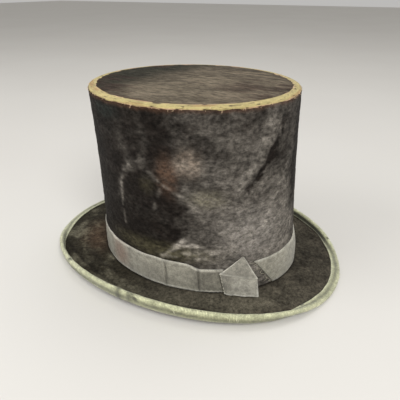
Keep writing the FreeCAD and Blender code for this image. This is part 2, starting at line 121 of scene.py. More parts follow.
def noise(turns, up, cells_round, cells_up, seed):
    """Smooth value noise from -1 to 1, periodic once per turn; up runs from 0 to 1."""
    grid = np.random.default_rng(seed).uniform(-1, 1, (cells_up + 2, cells_round))
    x = np.mod(turns, 1) * cells_round
    y = np.clip(up, 0, 1) * cells_up
    i, j = np.floor(x).astype(int), np.floor(y).astype(int)
    fx, fy = x - i, y - j
    fx, fy = fx * fx * (3 - 2 * fx), fy * fy * (3 - 2 * fy)
    i, following = i % cells_round, (i + 1) % cells_round
    low = grid[j, i] * (1 - fx) + grid[j, following] * fx
    high = grid[j + 1, i] * (1 - fx) + grid[j + 1, following] * fx
    return low * (1 - fy) + high * fy


def layered(turns, up, cells_round, cells_up, seed, layers=3):
    """Several noises of halving size added together."""
    total = 0
    for layer in range(layers):
        scale = 2 ** layer
        total = total + noise(turns, up, cells_round * scale, cells_up * scale, seed + layer) / scale
    return total / 1.5


def stroke(x, y, points, width):
    """1 on a bent line through points, falling to 0 over its width."""
    nearest = np.full(np.broadcast(x, y).shape, 1e9)
    for (ax, ay), (bx, by) in zip(points, points[1:]):
        length = (bx - ax) ** 2 + (by - ay) ** 2
        share = np.clip(((x - ax) * (bx - ax) + (y - ay) * (by - ay)) / length, 0, 1)
        nearest = np.minimum(nearest, np.hypot(x - ax - share * (bx - ax), y - ay - share * (by - ay)))
    return np.exp(-(nearest / width) ** 2)


def patch(x, y, centre, reach):
    """1 at the middle of an oval patch, falling to 0 beyond its reach."""
    return np.exp(-(((x - centre[0]) / reach[0]) ** 2 + ((y - centre[1]) / reach[1]) ** 2) ** 1.5)


def tint(red, green, blue):
    """A colour given as 0 to 255 display values, as linear light."""
    share = np.array([red, green, blue]) / 255
    return np.where(share <= 0.04045, share / 12.92, ((share + 0.055) / 1.055) ** 2.4)


def paint(tone, colour, amount):
    """Move a field of colours towards one colour, given as display values."""
    amount = np.clip(amount, 0, 1)[..., None]
    return tone * (1 - amount) + tint(*colour) * amount


def ridge(value, centre, width):
    """1 at a centre, falling to 0 over a width."""
    return np.exp(-((value - centre) / width) ** 2)


# ---------------------------------------------------------------- the crown's and the brim's surfaces

def wall(angle, height, inset=0.0):
    """Points on the crown's wall: arrays of oval angle and height, set inward by inset."""
    rise = height / RISE
    draw_in = 4 * WAIST * rise * (1 - rise)
    across = FOOT_WIDTH * (1 - rise) + TIP_WIDTH * rise - draw_in - inset
    along = FOOT_LENGTH * (1 - rise) + TIP_LENGTH * rise - draw_in - inset
    y = along * np.sin(angle) + FOOT_Y + (TIP_Y - FOOT_Y) * rise
    z = LEVEL + height + 0 * across
    return np.stack(np.broadcast_arrays(across * np.cos(angle), y, z), -1)


def curl_length(share):
    """Width of the curl, for a share of side in the oval angle: it narrows towards front and back."""
    return CURL_LENGTH * (CURL_LEAST + (1 - CURL_LEAST) * share ** CURL_FALL)


def slope_at(distance, flat, share):
    """Slope of the brim at a distance across it, for a share of side in the oval angle."""
    length = curl_length(share)
    lift = (SIDE_LIFT * share - END_DROOP * (1 - share)) / (flat + 2 * (length + LIP_LENGTH))
    through = smooth(distance, flat, flat + length)
    return 2 * lift * np.clip(distance / flat, 0, 1) + CURL_ANGLE * smooth(share, 0, CURL_FULL) * through


def travel(start, end, flat, share, steps=8):
    """Travel outward and upward between two distances across the brim."""
    step = (end - start) / steps
    out, rise = 0.0, 0.0
    for i in range(steps):
        slope = slope_at(start + (i + 0.5) * step, flat, share)
        out, rise = out + np.cos(slope) * step, rise + np.sin(slope) * step
    return out, rise


def path(distance, flat, share):
    """Travel from the crown to a distance across the brim."""
    curl_end = flat + curl_length(share)
    stretches = [(0 * distance, np.minimum(distance, flat)),
                 (flat, np.clip(distance, flat, curl_end)),
                 (curl_end, np.maximum(distance, curl_end))]
    moves = [travel(start, end, flat, share) for start, end in stretches]
    return sum(move[0] for move in moves), sum(move[1] for move in moves)


share_of_side = np.cos(ROUND) ** 2
brim_inner = np.stack([FOOT_WIDTH * np.cos(ROUND), FOOT_LENGTH * np.sin(ROUND) + FOOT_Y], -1)
brim_outer = np.stack([BRIM_WIDTH * np.cos(ROUND), BRIM_LENGTH * np.sin(ROUND)], -1)
brim_outer *= 1 + BRIM_FULLNESS * np.sin(2 * ROUND)[:, None] ** 2
brim_span = np.linalg.norm(brim_outer - brim_inner, axis=1)
brim_out = (brim_outer - brim_inner) / brim_span[:, None]
curl_width = curl_length(share_of_side)
flat_width = brim_span - (curl_width + LIP_LENGTH) / 2
for _ in range(8):
    reached, _rise = path(flat_width + curl_width + LIP_LENGTH, flat_width, share_of_side)
    flat_width = flat_width + brim_span - reached


def at_station(station):
    """Distance across the brim. Station 0 is the crown, 1 the start of the curl, 2 its end, 3 the edge."""
    return (flat_width * min(station, 1) + curl_width * np.clip(station - 1, 0, 1)
            + LIP_LENGTH * max(station - 2, 0))


def from_edge(inset):
    """Distance across the brim of a line that runs at a constant width in from the edge."""
    return flat_width + curl_width + LIP_LENGTH - inset


def brim_middle(distance):
    """The middle of the board all round, at a distance across the brim."""
    out, rise = path(distance, flat_width, share_of_side)
    level = brim_inner + brim_out * out[:, None]
    return np.column_stack([level, LEVEL - PLUSH - HALF_BOARD + rise])


def brim_sheet(distances):
    """Middle points and upward unit normals of the board, one row for each distance across the brim."""
    points = np.array([brim_middle(distance) for distance in distances])
    across = np.array([brim_middle(distance + 0.05) - brim_middle(distance - 0.05) for distance in distances])
    around = np.roll(points, -1, 1) - np.roll(points, 1, 1)
    normals = np.cross(across, around)
    return points, normals / np.linalg.norm(normals, axis=2, keepdims=True)


def brim_marks(first, last, flat_count=26, curl_count=20, lip_count=4):
    """Stations from first to last, closest together over the curl."""
    marks = np.concatenate([np.linspace(0, 1, flat_count, endpoint=False),
                            np.linspace(1, 2, curl_count, endpoint=False), np.linspace(2, 3, lip_count)])
    inside = marks[(marks > first + 0.01) & (marks < last - 0.01)]
    return np.concatenate([[first], inside, [last]])


# ---------------------------------------------------------------- meshes

def make_object(name, node, points, faces, uvs, tones, look):
    """A shaded mesh that rides on the hat and stands for a CAD node, unless the node is None.

    Points are in millimetres, with one tone for each point and one uv for each face corner.
    """
    mesh = bpy.data.meshes.new(name)
    mesh.from_pydata((np.asarray(points) / 1000).tolist(), [], faces)
    layer = mesh.uv_layers.new(name="surface")
    layer.data.foreach_set("uv", np.asarray(uvs, np.float32).ravel())
    colours = mesh.color_attributes.new("tone", "FLOAT_COLOR", "POINT")
    full = np.ones((len(points), 4), np.float32)
    full[:, :3] = tones
    colours.data.foreach_set("color", full.ravel())
    mesh.validate()
    shape = bmesh.new()
    shape.from_mesh(mesh)
    bmesh.ops.recalc_face_normals(shape, faces=shape.faces)
    shape.to_mesh(mesh)
    shape.free()
    mesh.polygons.foreach_set("use_smooth", [True] * len(mesh.polygons))
    mesh.materials.append(look)
    piece = bpy.data.objects.new(name, mesh)
    bpy.context.scene.collection.objects.link(piece)
    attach(piece, "root")
    if node:
        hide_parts(node)


def grid_faces(rows, columns, closed_rows, closed_columns):
    """Quads over a grid of points, with the grid corner of each face point."""
    faces, places = [], []
    for k in range(rows if closed_rows else rows - 1):
        for i in range(columns if closed_columns else columns - 1):
            ring = [(k, i), (k, i + 1), (k + 1, i + 1), (k + 1, i)]
            faces.append([(a % rows) * columns + b % columns for a, b in ring])
            places += ring
    return faces, places


def loop_piece(name, node, upper, lower, tone, look, ends=False):
    """A thin closed sheet between an upper and a lower grid of points that share their two borders.

    The grids close round the hat unless ends is true, when they are capped instead and have equal rows.
    """
    rows = np.concatenate([upper, lower[::-1]])
    count, columns = rows.shape[:2]
    faces, places = grid_faces(count, columns, True, not ends)
    run = np.linalg.norm(np.diff(upper[:, 0], axis=0), axis=1).cumsum()
    run = np.concatenate([[0], run])
    back = np.interp(np.linspace(0, 1, len(lower)), np.linspace(0, 1, len(run)), run)[::-1]
    height = np.concatenate([run, back, [run[0]]])
    across = np.arange(columns + 1) / (columns if not ends else columns - 1)
    uvs = [(across[i], height[k] / 100) for k, i in places]
    if ends:
        upper_rows = len(upper)
        for column in (0, columns - 1):
            for k in range(upper_rows - 1):
                quad = [(k, column), (k + 1, column), (count - 2 - k, column), (count - 1 - k, column)]
                faces.append([a * columns + b for a, b in quad])
                uvs += [(across[b], height[a] / 100) for a, b in quad]
    edge_rows = np.linspace(0, len(upper) - 1, len(lower)).round().astype(int)
    tones = np.concatenate([tone, tone[edge_rows][::-1]])
    make_object(name, node, rows.reshape(-1, 3), faces, uvs, tones.reshape(-1, 3), look)


def disc_piece(name, node, rows, tone, look):
    """A closed lens from rings of points: out along its under side, then in along its upper side."""
    count, columns = rows.shape[:2]
    faces, places = grid_faces(count, columns, False, True)
    points = np.concatenate([rows.reshape(-1, 3), [rows[0].mean(0)], [rows[-1].mean(0)]])
    uvs = [(i / columns, k / count) for k, i in places]
    for pole, row in ((len(points) - 2, 0), (len(points) - 1, count - 1)):
        for i in range(columns):
            faces.append([pole, row * columns + i, row * columns + (i + 1) % columns])
            uvs += [((i + part) / columns, row / count) for part in (0.5, 0, 1)]
    tones = np.concatenate([tone.reshape(-1, 3), [tone[0].mean(0)], [tone[-1].mean(0)]])
    make_object(name, node, points, faces, uvs, np.maximum(tones, LEAST_TONE), look)


def cords(name, node, lines, radius, tone, look, sides=6):
    """Closed round cords along lines of points, tapered a little at both ends."""
    points, faces, tones = [], [], []
    for number, line in enumerate(lines):
        line = np.asarray(line, float)
        ahead = np.gradient(line, axis=0)
        ahead /= np.linalg.norm(ahead, axis=1, keepdims=True)
        side = np.cross(ahead, np.where(np.abs(ahead[:, 2:]) > 0.9, [[1.0, 0, 0]], [[0, 0, 1.0]]))
        side /= np.linalg.norm(side, axis=1, keepdims=True)
        other = np.cross(ahead, side)
        swell = np.sin(np.linspace(0.25, math.pi - 0.25, len(line))) ** 0.35 * radius
        first = len(points)
        for k in range(len(line)):
            for i in range(sides):
                turn = 2 * math.pi * i / sides
                points.append(line[k] + (side[k] * math.cos(turn) + other[k] * math.sin(turn)) * swell[k])
        rings = [[first + k * sides + i for i in range(sides)] for k in range(len(line))]
        for low, high in zip(rings, rings[1:]):
            faces += [[low[i], low[(i + 1) % sides], high[(i + 1) % sides], high[i]] for i in range(sides)]
        faces += [rings[0][::-1], rings[-1]]
        shade = 1 + 0.25 * math.sin(number * 2.4)
        tones += [np.asarray(tone) * shade] * (len(points) - first)
    uvs = [(0.5, 0.5)] * sum(len(face) for face in faces)
    make_object(name, node, points, faces, uvs, np.array(tones), look)


# ---------------------------------------------------------------- materials

class Look:
    """A procedural material built node by node."""

    def __init__(self, name, roughness=0.7, sheen=0.0, specular=0.3):
        self.material = bpy.data.materials.new(name)
        self.material.use_nodes = True
        self.tree = self.material.node_tree
        self.surface = self.tree.nodes["Principled BSDF"]
        self.set(self.surface, {"Roughness": roughness, "Sheen Weight": sheen, "Sheen Roughness": 0.45,
                                "Specular IOR Level": specular})

    def set(self, node, inputs):
        for key, value in inputs.items():
            if isinstance(value, bpy.types.NodeSocket):
                self.tree.links.new(value, node.inputs[key])
            else:
                node.inputs[key].default_value = value

    def node(self, kind, inputs=None, out=0, **settings):
        made = self.tree.nodes.new(kind)
        for key, value in settings.items():
            setattr(made, key, value)
        self.set(made, inputs or {})
        return made.outputs[out]

    def place(self, scale=(1, 1, 1)):
        """Position in the row frame, stretched."""
        where = self.node("ShaderNodeTexCoord", out=3)
        return self.node("ShaderNodeMapping", {"Vector": where, "Scale": scale})

    def noise(self, scale, stretch=(1, 1, 1), detail=3.0, rough=0.6):
        inputs = {"Vector": self.place(stretch), "Scale": scale, "Detail": detail, "Roughness": rough}
        return self.node("ShaderNodeTexNoise", inputs)

    def math(self, operation, first, second=0.0):
        return self.node("ShaderNodeMath", {0: first, 1: second}, operation=operation)

    def product(self, first, *others):
        for other in others:
            first = self.math("MULTIPLY", first, other)
        return first

    def span(self, value, low, high, to_low=0.0, to_high=1.0):
        return self.node("ShaderNodeMapRange", {"Value": value, "From Min": low, "From Max": high,
                                                "To Min": to_low, "To Max": to_high})

    def mix(self, amount, first, second, mode="MIX"):
        inputs = {0: amount, 6: first, 7: second}
        return self.node("ShaderNodeMix", inputs, out=2, data_type="RGBA", blend_type=mode)

    def tone(self):
        return self.node("ShaderNodeAttribute", attribute_name="tone")

    def shaded(self, colour, shade):
        """A colour multiplied by a grey shade."""
        grey = self.node("ShaderNodeCombineColor", {0: shade, 1: shade, 2: shade})
        return self.mix(1.0, colour, grey, "MULTIPLY")

    def waves(self, turns=0.0, rows=0.0):
        """A sine over a piece: so many turns round it, and so many rows in a hundred millimetres."""
        split = self.node("ShaderNodeSeparateXYZ", {0: self.node("ShaderNodeUVMap", uv_map="surface")}).node
        u = self.math("MULTIPLY", split.outputs[0], turns * 2 * math.pi)
        v = self.math("MULTIPLY", split.outputs[1], rows * 2 * math.pi)
        return self.math("SINE", self.math("ADD", u, v))

    def finish(self, colour, height, distance):
        """Connect the colour and a bump from height, given in metres of relief."""
        bump = self.node("ShaderNodeBump", {"Height": height, "Distance": distance, "Strength": 1.0})
        self.set(self.surface, {"Base Color": colour, "Normal": bump})
        return self.material


def plush_look(name, stretch, sheen=0.02):
    """Silk plush: short nap brushed one way, painted darker in the hollows and lighter along the tufts
    (painted shade and sheen).
    """
    look = Look(name, roughness=0.7, sheen=sheen, specular=0.06)
    hairs = look.noise(1500, stretch, 4, 0.7)
    tufts = look.noise(380, stretch, 4, 0.7)
    clouds = look.noise(75, stretch, 4, 0.65)
    # Painted shade in the hollows and painted sheen on the tufts; the tufts noise also drives the bump.
    shade = look.product(look.span(tufts, 0.32, 0.7, 0.45, 1.75), look.span(hairs, 0.3, 0.7, 0.7, 1.35),
                         look.span(clouds, 0.32, 0.68, 0.7, 1.32))
    colour = look.shaded(look.tone(), shade)
    look.set(look.surface, {"Roughness": look.span(tufts, 0.3, 0.7, 0.8, 0.6),
                            "Sheen Tint": (0.9, 0.87, 0.82, 1)})
    return look.finish(colour, look.math("ADD", look.math("MULTIPLY", tufts, 0.7), hairs), 0.0004)


def ribbon_look(name, turns=0.0, rows=0.0, sheen=0.2, depth=0.00022):
    """Corded ribbon: fine ribs, dusty, painted paler on the rib crests and darker in the grooves (painted
    light and shade).
    """
    look = Look(name, roughness=0.6, sheen=sheen, specular=0.25)
    ribs = look.waves(turns, rows)
    dust = look.noise(210, (1, 1, 1), 6, 0.72)
    specks = look.noise(900, (1, 1, 1), 3, 0.7)
    # Painted shade in the rib grooves and painted light on the crests, from the same waves as the bump.
    shade = look.product(look.span(ribs, -1, 1, 0.74, 1.16), look.span(dust, 0.32, 0.68, 0.62, 1.3),
                         look.span(specks, 0.32, 0.68, 0.74, 1.24))
    colour = look.shaded(look.tone(), shade)
    height = look.math("ADD", look.math("MULTIPLY", ribs, 0.6), look.math("MULTIPLY", specks, 0.8))
    return look.finish(colour, height, depth)


def cloth_look(name, turns, rows, coarse=1.0, sheen=0.1):
    """Plain weave: crossed threads with painted shade in the gaps between them, uneven and stained."""
    look = Look(name, roughness=0.82, sheen=sheen, specular=0.15)
    warp = look.waves(turns, 0)
    weft = look.waves(0, rows)
    weave = look.span(look.math("ADD", warp, weft), -2, 2)
    stains = look.noise(95, (1, 1, 1), 5, 0.7)
    slubs = look.noise(700, (1, 1, 1), 3, 0.6)
    # Painted shade between the threads, from the same weave as the bump.
    shade = look.product(look.span(weave, 0, 1, 1 - 0.4 * coarse, 1 + 0.18 * coarse),
                         look.span(stains, 0.3, 0.7, 0.8, 1.2), look.span(slubs, 0.3, 0.7, 0.85, 1.15))
    height = look.math("ADD", weave, look.math("MULTIPLY", slubs, 0.6))
    return look.finish(look.shaded(look.tone(), shade), height, 0.0002 * coarse)


def board_look(name, colour):
    """Shellacked cloth: stiff open weave under a glossy brown varnish, on the frame's own meshes."""
    look = Look(name, roughness=0.45, sheen=0.0, specular=0.4)
    weave = look.node("ShaderNodeTexBrick", {"Vector": look.place(), "Scale": 700.0, "Color1": (1, 1, 1, 1),
                                            "Color2": (0.8, 0.8, 0.8, 1), "Mortar": (0.35, 0.35, 0.35, 1)})
    runs = look.noise(120, (1, 1, 0.4), 4, 0.6)
    varnish = look.mix(look.span(runs, 0.3, 0.7), (*colour, 1), (*(colour * 0.5), 1))
    return look.finish(look.mix(1.0, varnish, weave, "MULTIPLY"), runs, 0.0003)


def satin_look(name):
    """Lining satin: smooth, faintly streaked, yellowed in patches."""
    look = Look(name, roughness=0.34, sheen=0.15, specular=0.45)
    threads = look.noise(1300, (1, 1, 0.06), 2, 0.5)
    age = look.noise(28, (1, 1, 1), 4, 0.65)
    colour = look.mix(look.span(age, 0.42, 0.72), look.tone(), (*tint(168, 140, 98), 1))
    return look.finish(look.shaded(colour, look.span(threads, 0.3, 0.7, 0.88, 1.08)), threads, 0.00006)


def leather_look(name):
    """Thin tan leather: pebbled grain, darkened by wear."""
    look = Look(name, roughness=0.48, sheen=0.05, specular=0.45)
    grain = look.node("ShaderNodeTexVoronoi", {"Vector": look.place(), "Scale": 850.0})
    wear = look.noise(45, (1, 1, 1), 5, 0.65)
    colour = look.mix(look.span(wear, 0.35, 0.75), look.tone(), (*tint(74, 46, 28), 1))
    # The grain's crevices are painted darker: painted shade, from the same cells as the bump.
    shaded = look.shaded(colour, look.span(grain, 0, 0.8, 1.1, 0.82))
    return look.finish(shaded, look.math("MULTIPLY", grain, -1.0), 0.0002)


def thread_look(name):
    """Twisted sewing thread."""
    look = Look(name, roughness=0.7, sheen=0.3, specular=0.2)
    twist = look.noise(2600, (1, 1, 1), 2, 0.5)
    return look.finish(look.shaded(look.tone(), look.span(twist, 0.3, 0.7, 0.75, 1.2)), twist, 0.0001)


BLACK = tint(23, 19, 16)
# Light end of the crown's nap: faded plush and painted sheen.
WORN_AND_SHEEN = tint(104, 99, 92)
STRAW = tint(184, 169, 116)
RIBBON = tint(152, 148, 134)
BINDING = tint(180, 181, 144)
EARTH = (82, 64, 50)
OLIVE = (74, 70, 52)

turns_round = ROUND / (2 * math.pi) + 0.5
degrees = np.degrees(ROUND)


# ---------------------------------------------------------------- crown plush

# Width of one degree round the crown, in mm
DEGREE = 1.55

# The marks of wear, with painted light. First the bent creases and brushed lines in the nap: (angle, height)
# points, half width, lightness (painted sheen on the crushed and brushed nap, painted shade below zero),
# relief
CREASES = [
    ([(-18, 56), (-18.5, 70), (-18, 86), (-17, 99), (-14, 110), (-10, 118)], 1.3, 0.46, 0.3),
    ([(-19, 84), (-17.5, 100), (-13, 112), (-6, 120), (-1, 124)], 3.4, 0.22, 0.2),
    ([(-10, 118), (-4, 120), (2, 116), (7, 108)], 2.0, 0.32, 0.25),
    ([(-9, 118), (-12, 134), (-15, 152)], 4.2, 0.2, 0.2),
    ([(-3, 122), (1, 140), (-1, 158)], 3.2, 0.12, 0.15),
    ([(3, 82), (5, 90), (7, 98), (7, 108)], 1.6, 0.34, 0.2),
    ([(9, 106), (14, 100), (19, 95), (24, 88)], 1.6, 0.6, 0.25),
    ([(8, 37), (12, 45), (18, 54)], 2.2, 1.1, 0.4),
    ([(5, 34), (11, 36), (19, 40), (27, 43), (34, 41)], 2.4, 1.3, 0.45),
    ([(11, 43), (17, 48), (24, 49)], 1.7, 1.1, 0.35),
    ([(13, 36), (20, 34), (28, 36)], 1.6, 1.2, 0.35),
    ([(16, 52), (22, 50), (27, 46)], 1.3, 0.45, 0.2),
    # Painted shadow line above the band, over a shallow groove.
    ([(-30, 50), (-12, 47), (4, 42), (16, 36)], 2.2, -0.35, -0.3),
    # Painted highlight bands on the lit right-hand side, with a painted darker streak between them.
    ([(67, 169), (63, 150), (56, 124), (47, 104)], 5.0, 0.5, 0.35),
    ([(76, 158), (70, 138), (62, 120), (52, 102)], 3.4, -0.62, -0.3),
    ([(86, 128), (77, 110), (68, 88), (62, 66)], 5.4, 0.42, 0.25),
    # Painted shade down the right-hand edge.
    ([(96, 150), (92, 120), (90, 80)], 9.0, -0.5, -0.1),
    ([(48, 70), (54, 52), (60, 36)], 5.0, 0.2, 0.15),
    ([(30, 150), (38, 146)], 2.0, 0.35, 0.1),
    ([(150, 160), (138, 120), (142, 70)], 4.0, 0.4, 0.3),
    ([(-95, 150), (-102, 100), (-96, 60)], 4.0, 0.3, 0.3),
    ([(-150, 140), (-160, 95), (-152, 50)], 2.4, 0.35, 0.3),
]
# Discoloured places in the nap, and one painted shade: (angle, height), reach, colour, strength
STAINS = [
    ((11.5, 114), (5, 17), (80, 62, 50), 0.75),
    ((22, 126), (6, 12), (140, 126, 112), 0.55),
    ((0, 103), (4, 8), (60, 56, 42), 0.5),
    ((31, 95), (9, 8), (108, 103, 86), 0.45),
    ((56, 58), (20, 26), (124, 119, 113), 0.5),
    # Painted shade high up at the right-hand edge.
    ((81, 156), (9, 14), (58, 54, 50), 0.7),
    ((-24, 161), (10, 7), (38, 46, 43), 0.5),
    ((4, 39), (30, 9), OLIVE, 0.55),
    ((-118, 120), (16, 30), EARTH, 0.35),
    ((160, 60), (22, 26), OLIVE, 0.4),
]


def wrap(angles):
    """Angles brought between -180 and 180 degrees."""
    return np.mod(angles + 180, 360) - 180


def fade_and_sheen(angles, heights):
    """How far the plush has faded, with painted light: dark over the front-left quarter, grey on the other
    sides, the grey partly painted sheen and darkened towards the right-hand edge by painted shade.
    """
    turns = angles / 360
    edge = 18 + 0.03 * (85 - heights) + 7 * layered(turns, heights / RISE, 40, 14, 5)
    # The grey side is partly painted sheen; from 78 to 97 degrees it is darkened by painted shade.
    grey = smooth(angles, edge - 6, edge + 6) * (1 - 0.62 * smooth(angles, 78, 97))
    grey = grey * (1 - smooth(angles, 115, 178))
    hidden = 0.3 * (1 - smooth(np.abs(wrap(angles + 150)), 45, 95))
    lower = 0.5 * (1 - smooth(heights, 45, 130)) * smooth(angles, 22, 42)
    mottle = 0.3 * layered(turns, heights / RISE, 36, 22, 11, 4)
    return np.clip(0.02 + (0.35 + lower) * grey + hidden + mottle * (0.2 + grey), 0, 1)


def brush_marks(angle, height):
    """Short light and dark strokes left by brushing and handling, thickest on the faded side."""
    rng = np.random.default_rng(19)
    total = 0 * height
    for _ in range(130):
        at, up, length = rng.uniform(-180, 180), rng.uniform(25, 165), rng.uniform(6, 26)
        lean = rng.normal(-0.45, 0.5)
        offset = wrap(angle - at)
        near = np.abs(offset) < 24
        line = [(0, up), (lean * length, up - length)]
        mark = stroke(offset[near] * DEGREE, height[near], line, rng.uniform(0.8, 2.6))
        total[near] += rng.choice([-0.7, 0.7, 1.0]) * rng.uniform(0.3, 1.0) * mark
    return total


def make_crown_plush():
    border = 0 * turns_round
    jag = 1.1 * layered(turns_round, border, 90, 1, 21) + 0.5 * noise(turns_round, border, 230, 1, 24)
    top = RISE - EDGE_FALL - 0.5 + 0.6 * jag
    share = evenly(170)
    height = GAP + share * (top - GAP)
    angle = degrees + 0 * height
    turns = turns_round + 0 * height
    level = height / RISE
    light, relief = 0, 0
    for points, width, lightness, rise in CREASES:
        line = [(x * DEGREE, y) for x, y in points]
        mark = stroke(angle * DEGREE, height, line, width)
        broken = np.clip(0.75 + 0.8 * noise(turns, level, 150, 60, 31), 0, 1.3)
        light, relief = light + lightness * mark * broken, relief + rise * mark
    grey = fade_and_sheen(angle, height)
    streaks = layered(turns, level, 180, 50, 41, 3)
    grain = noise(turns, level, 300, 105, 45)
    marks = brush_marks(angle, height)
    amount = grey + 1.25 * light + (0.3 * streaks + 0.26 * grain + 0.3 * marks) * (0.16 + grey)
    tone = BLACK + (WORN_AND_SHEEN - BLACK) * np.clip(amount, 0, 1.7)[..., None]
    for centre, reach, colour, strength in STAINS:
        spotty = strength * (0.9 + 0.5 * noise(turns, level, 200, 90, 51))
        around = wrap(angle - centre[0])
        tone = paint(tone, colour, spotty * patch(around, height, (0, centre[1]), reach))
    worn_edge = smooth(share + 0.006 * streaks, 0.975, 1.0)
    tone = paint(tone, (70, 50, 38), 0.7 * worn_edge)
    tufts = 0.16 * noise(turns, level, 240, 110, 61) + 0.22 * layered(turns, level, 50, 24, 64)
    upper = wall(ROUND, height, -(relief + tufts + 0.1) * smooth(share, 0, 0.02))
    low_share = evenly(6)
    lower = wall(ROUND, GAP + low_share * (top - GAP), 0.5)
    loop_piece("crown_silk_plush", "crown_plush", upper, lower, np.maximum(tone, LEAST_TONE),
               plush_look("crown nap", (0.6, 0.6, 1.0)))


# ---------------------------------------------------------------- bared edge and top

def make_edge_strip():
    """Woven cloth bared where the plush has worn off the top edge."""
    turns = turns_round
    upper, lower = [], []
    profile = [(RISE - EDGE_FALL - 6, 0.55), (RISE - EDGE_FALL - 2.5, 0.5), (RISE - EDGE_FALL - 0.8, 0.35)]
    for i in range(19):
        turn = math.pi / 2 * i / 18
        profile.append((RISE - EDGE_FALL + (EDGE_FALL - 0.1) * math.sin(turn),
                        0.25 + (EDGE_ROUND - 0.25) * (1 - math.cos(turn))))
    profile += [(RISE - 0.35, EDGE_ROUND + 1.5), (RISE - 0.45, EDGE_ROUND + 3.5)]
    shares = np.linspace(0, 1, len(profile))
    for share, (height, inset) in zip(shares, profile):
        row = share + 0 * turns
        bumps = 0.14 * noise(turns, row, 240, 8, 71) + 0.18 * noise(turns, row, 60, 3, 72)
        upper.append(wall(ROUND, height + 0 * ROUND, inset - bumps))
        lower.append(wall(ROUND, height - 0.25 - 0.1 * share + 0 * ROUND, inset + 0.32))
    share = shares[:, None] + 0 * turns
    turns = turns + 0 * share
    tone = STRAW * (1 + 0.2 * layered(turns, share, 90, 8, 75, 4))[..., None]
    tone = paint(tone, (160, 124, 82), 0.7 * smooth(layered(turns, share, 24, 3, 81), 0.15, 0.6))
    pink = smooth(0.2 - share + 0.05 * noise(turns, share, 180, 6, 84), 0, 0.08)
    pink = np.maximum(pink, smooth(share - 0.84 + 0.08 * noise(turns, share, 120, 6, 86), 0, 0.06))
    tone = paint(tone, (202, 158, 138), 0.6 * pink * np.clip(0.7 + noise(turns, share, 46, 2, 87), 0, 1))
    tone = paint(tone, (62, 46, 34), 0.9 * smooth(noise(turns, share, 150, 9, 88), 0.58, 0.78))
    stitched = smooth(-(turns - 0.5) * 360, 28, 40) * (1 - smooth(-(turns - 0.5) * 360, 120, 140))
    dots = ridge(share, 0.5, 0.03) * (np.sin(turns * 2 * np.pi * 210) > 0)
    tone = paint(tone, (120, 88, 60), 0.75 * stitched * dots)
    loop_piece("tip_edge_bared_cloth", "tip_edge_strip", np.array(upper), np.array(lower), tone,
               cloth_look("bared weave", 760, 120, coarse=1.1))


def make_tip_plush():
    """The flat top, faded to taupe and streaked from front to back."""
    turns = turns_round
    jag = 1.0 * layered(turns, 0 * turns, 70, 1, 91) + 0.5 * noise(turns, 0 * turns, 220, 1, 94)
    chip = 1.6 * smooth(noise(turns, 0 * turns, 110, 1, 97), 0.45, 0.8)
    rim_x, rim_y = TIP_WIDTH - EDGE_ROUND + 0.3 + jag - chip, TIP_LENGTH - EDGE_ROUND + 0.3 + jag - chip
    shares = np.concatenate([np.linspace(0.012, 0.97, 90), [0.985, 0.995, 1.0]])[:, None]
    x = rim_x * np.cos(ROUND) * shares
    y = rim_y * np.sin(ROUND) * shares + TIP_Y
    dome = 0.7 * (1 - shares ** 2) + 0.0 * x
    wave = 0.35 * noise(x / 400 + 0.5, y / 240 + 0.5, 16, 8, 101) * (1 - shares ** 6)
    z = tip_high[2] - 0.05 + dome + wave - 0.25 * smooth(shares, 0.985, 1.0)
    upper = np.stack([x, y, z], -1)
    low_shares = np.array([0.012, 0.5, 0.97, 1.0])[:, None]
    low_x, low_y = rim_x * np.cos(ROUND) * low_shares, rim_y * np.sin(ROUND) * low_shares + TIP_Y
    lower = np.stack([low_x, low_y, np.full(low_x.shape, tip_high[2] - 0.62)], -1)
    along = x / 400 + 0.5
    streak = layered(along, y / 240 + 0.5, 130, 7, 105, 3)
    cloud = layered(along, y / 240 + 0.5, 11, 5, 111, 4)
    tone = tint(92, 83, 70) * (1 + 0.5 * streak + 0.5 * cloud)[..., None]
    tone = paint(tone, (26, 27, 19), 0.9 * smooth(-y - 0.2 * x + 14 * cloud, 0, 62))
    tone = paint(tone, (46, 34, 28), 0.8 * smooth(cloud + 0.3 * streak, 0.05, 0.4))
    tone = paint(tone, (108, 99, 84), 0.5 * patch(x, y, (25, 8), (60, 40)))
    tone = paint(tone, (60, 44, 34), 0.5 * smooth(shares + 0 * x, 0.96, 1.0))
    low_tone = np.broadcast_to(tint(60, 50, 42), (4, COLUMNS, 3))
    look = plush_look("tip nap", (1, 0.3, 1))
    rows = np.concatenate([low_tone, tone[::-1]])
    surface = np.concatenate([lower, upper[::-1]])
    disc_piece("tip_faded_plush", "tip_plush", surface, rows, look)


# ---------------------------------------------------------------- brim

UNDER_CLOTH = 0.6
BRIM_TOP = HALF_BOARD + PLUSH
BRIM_UNDER = -HALF_BOARD - UNDER_CLOTH


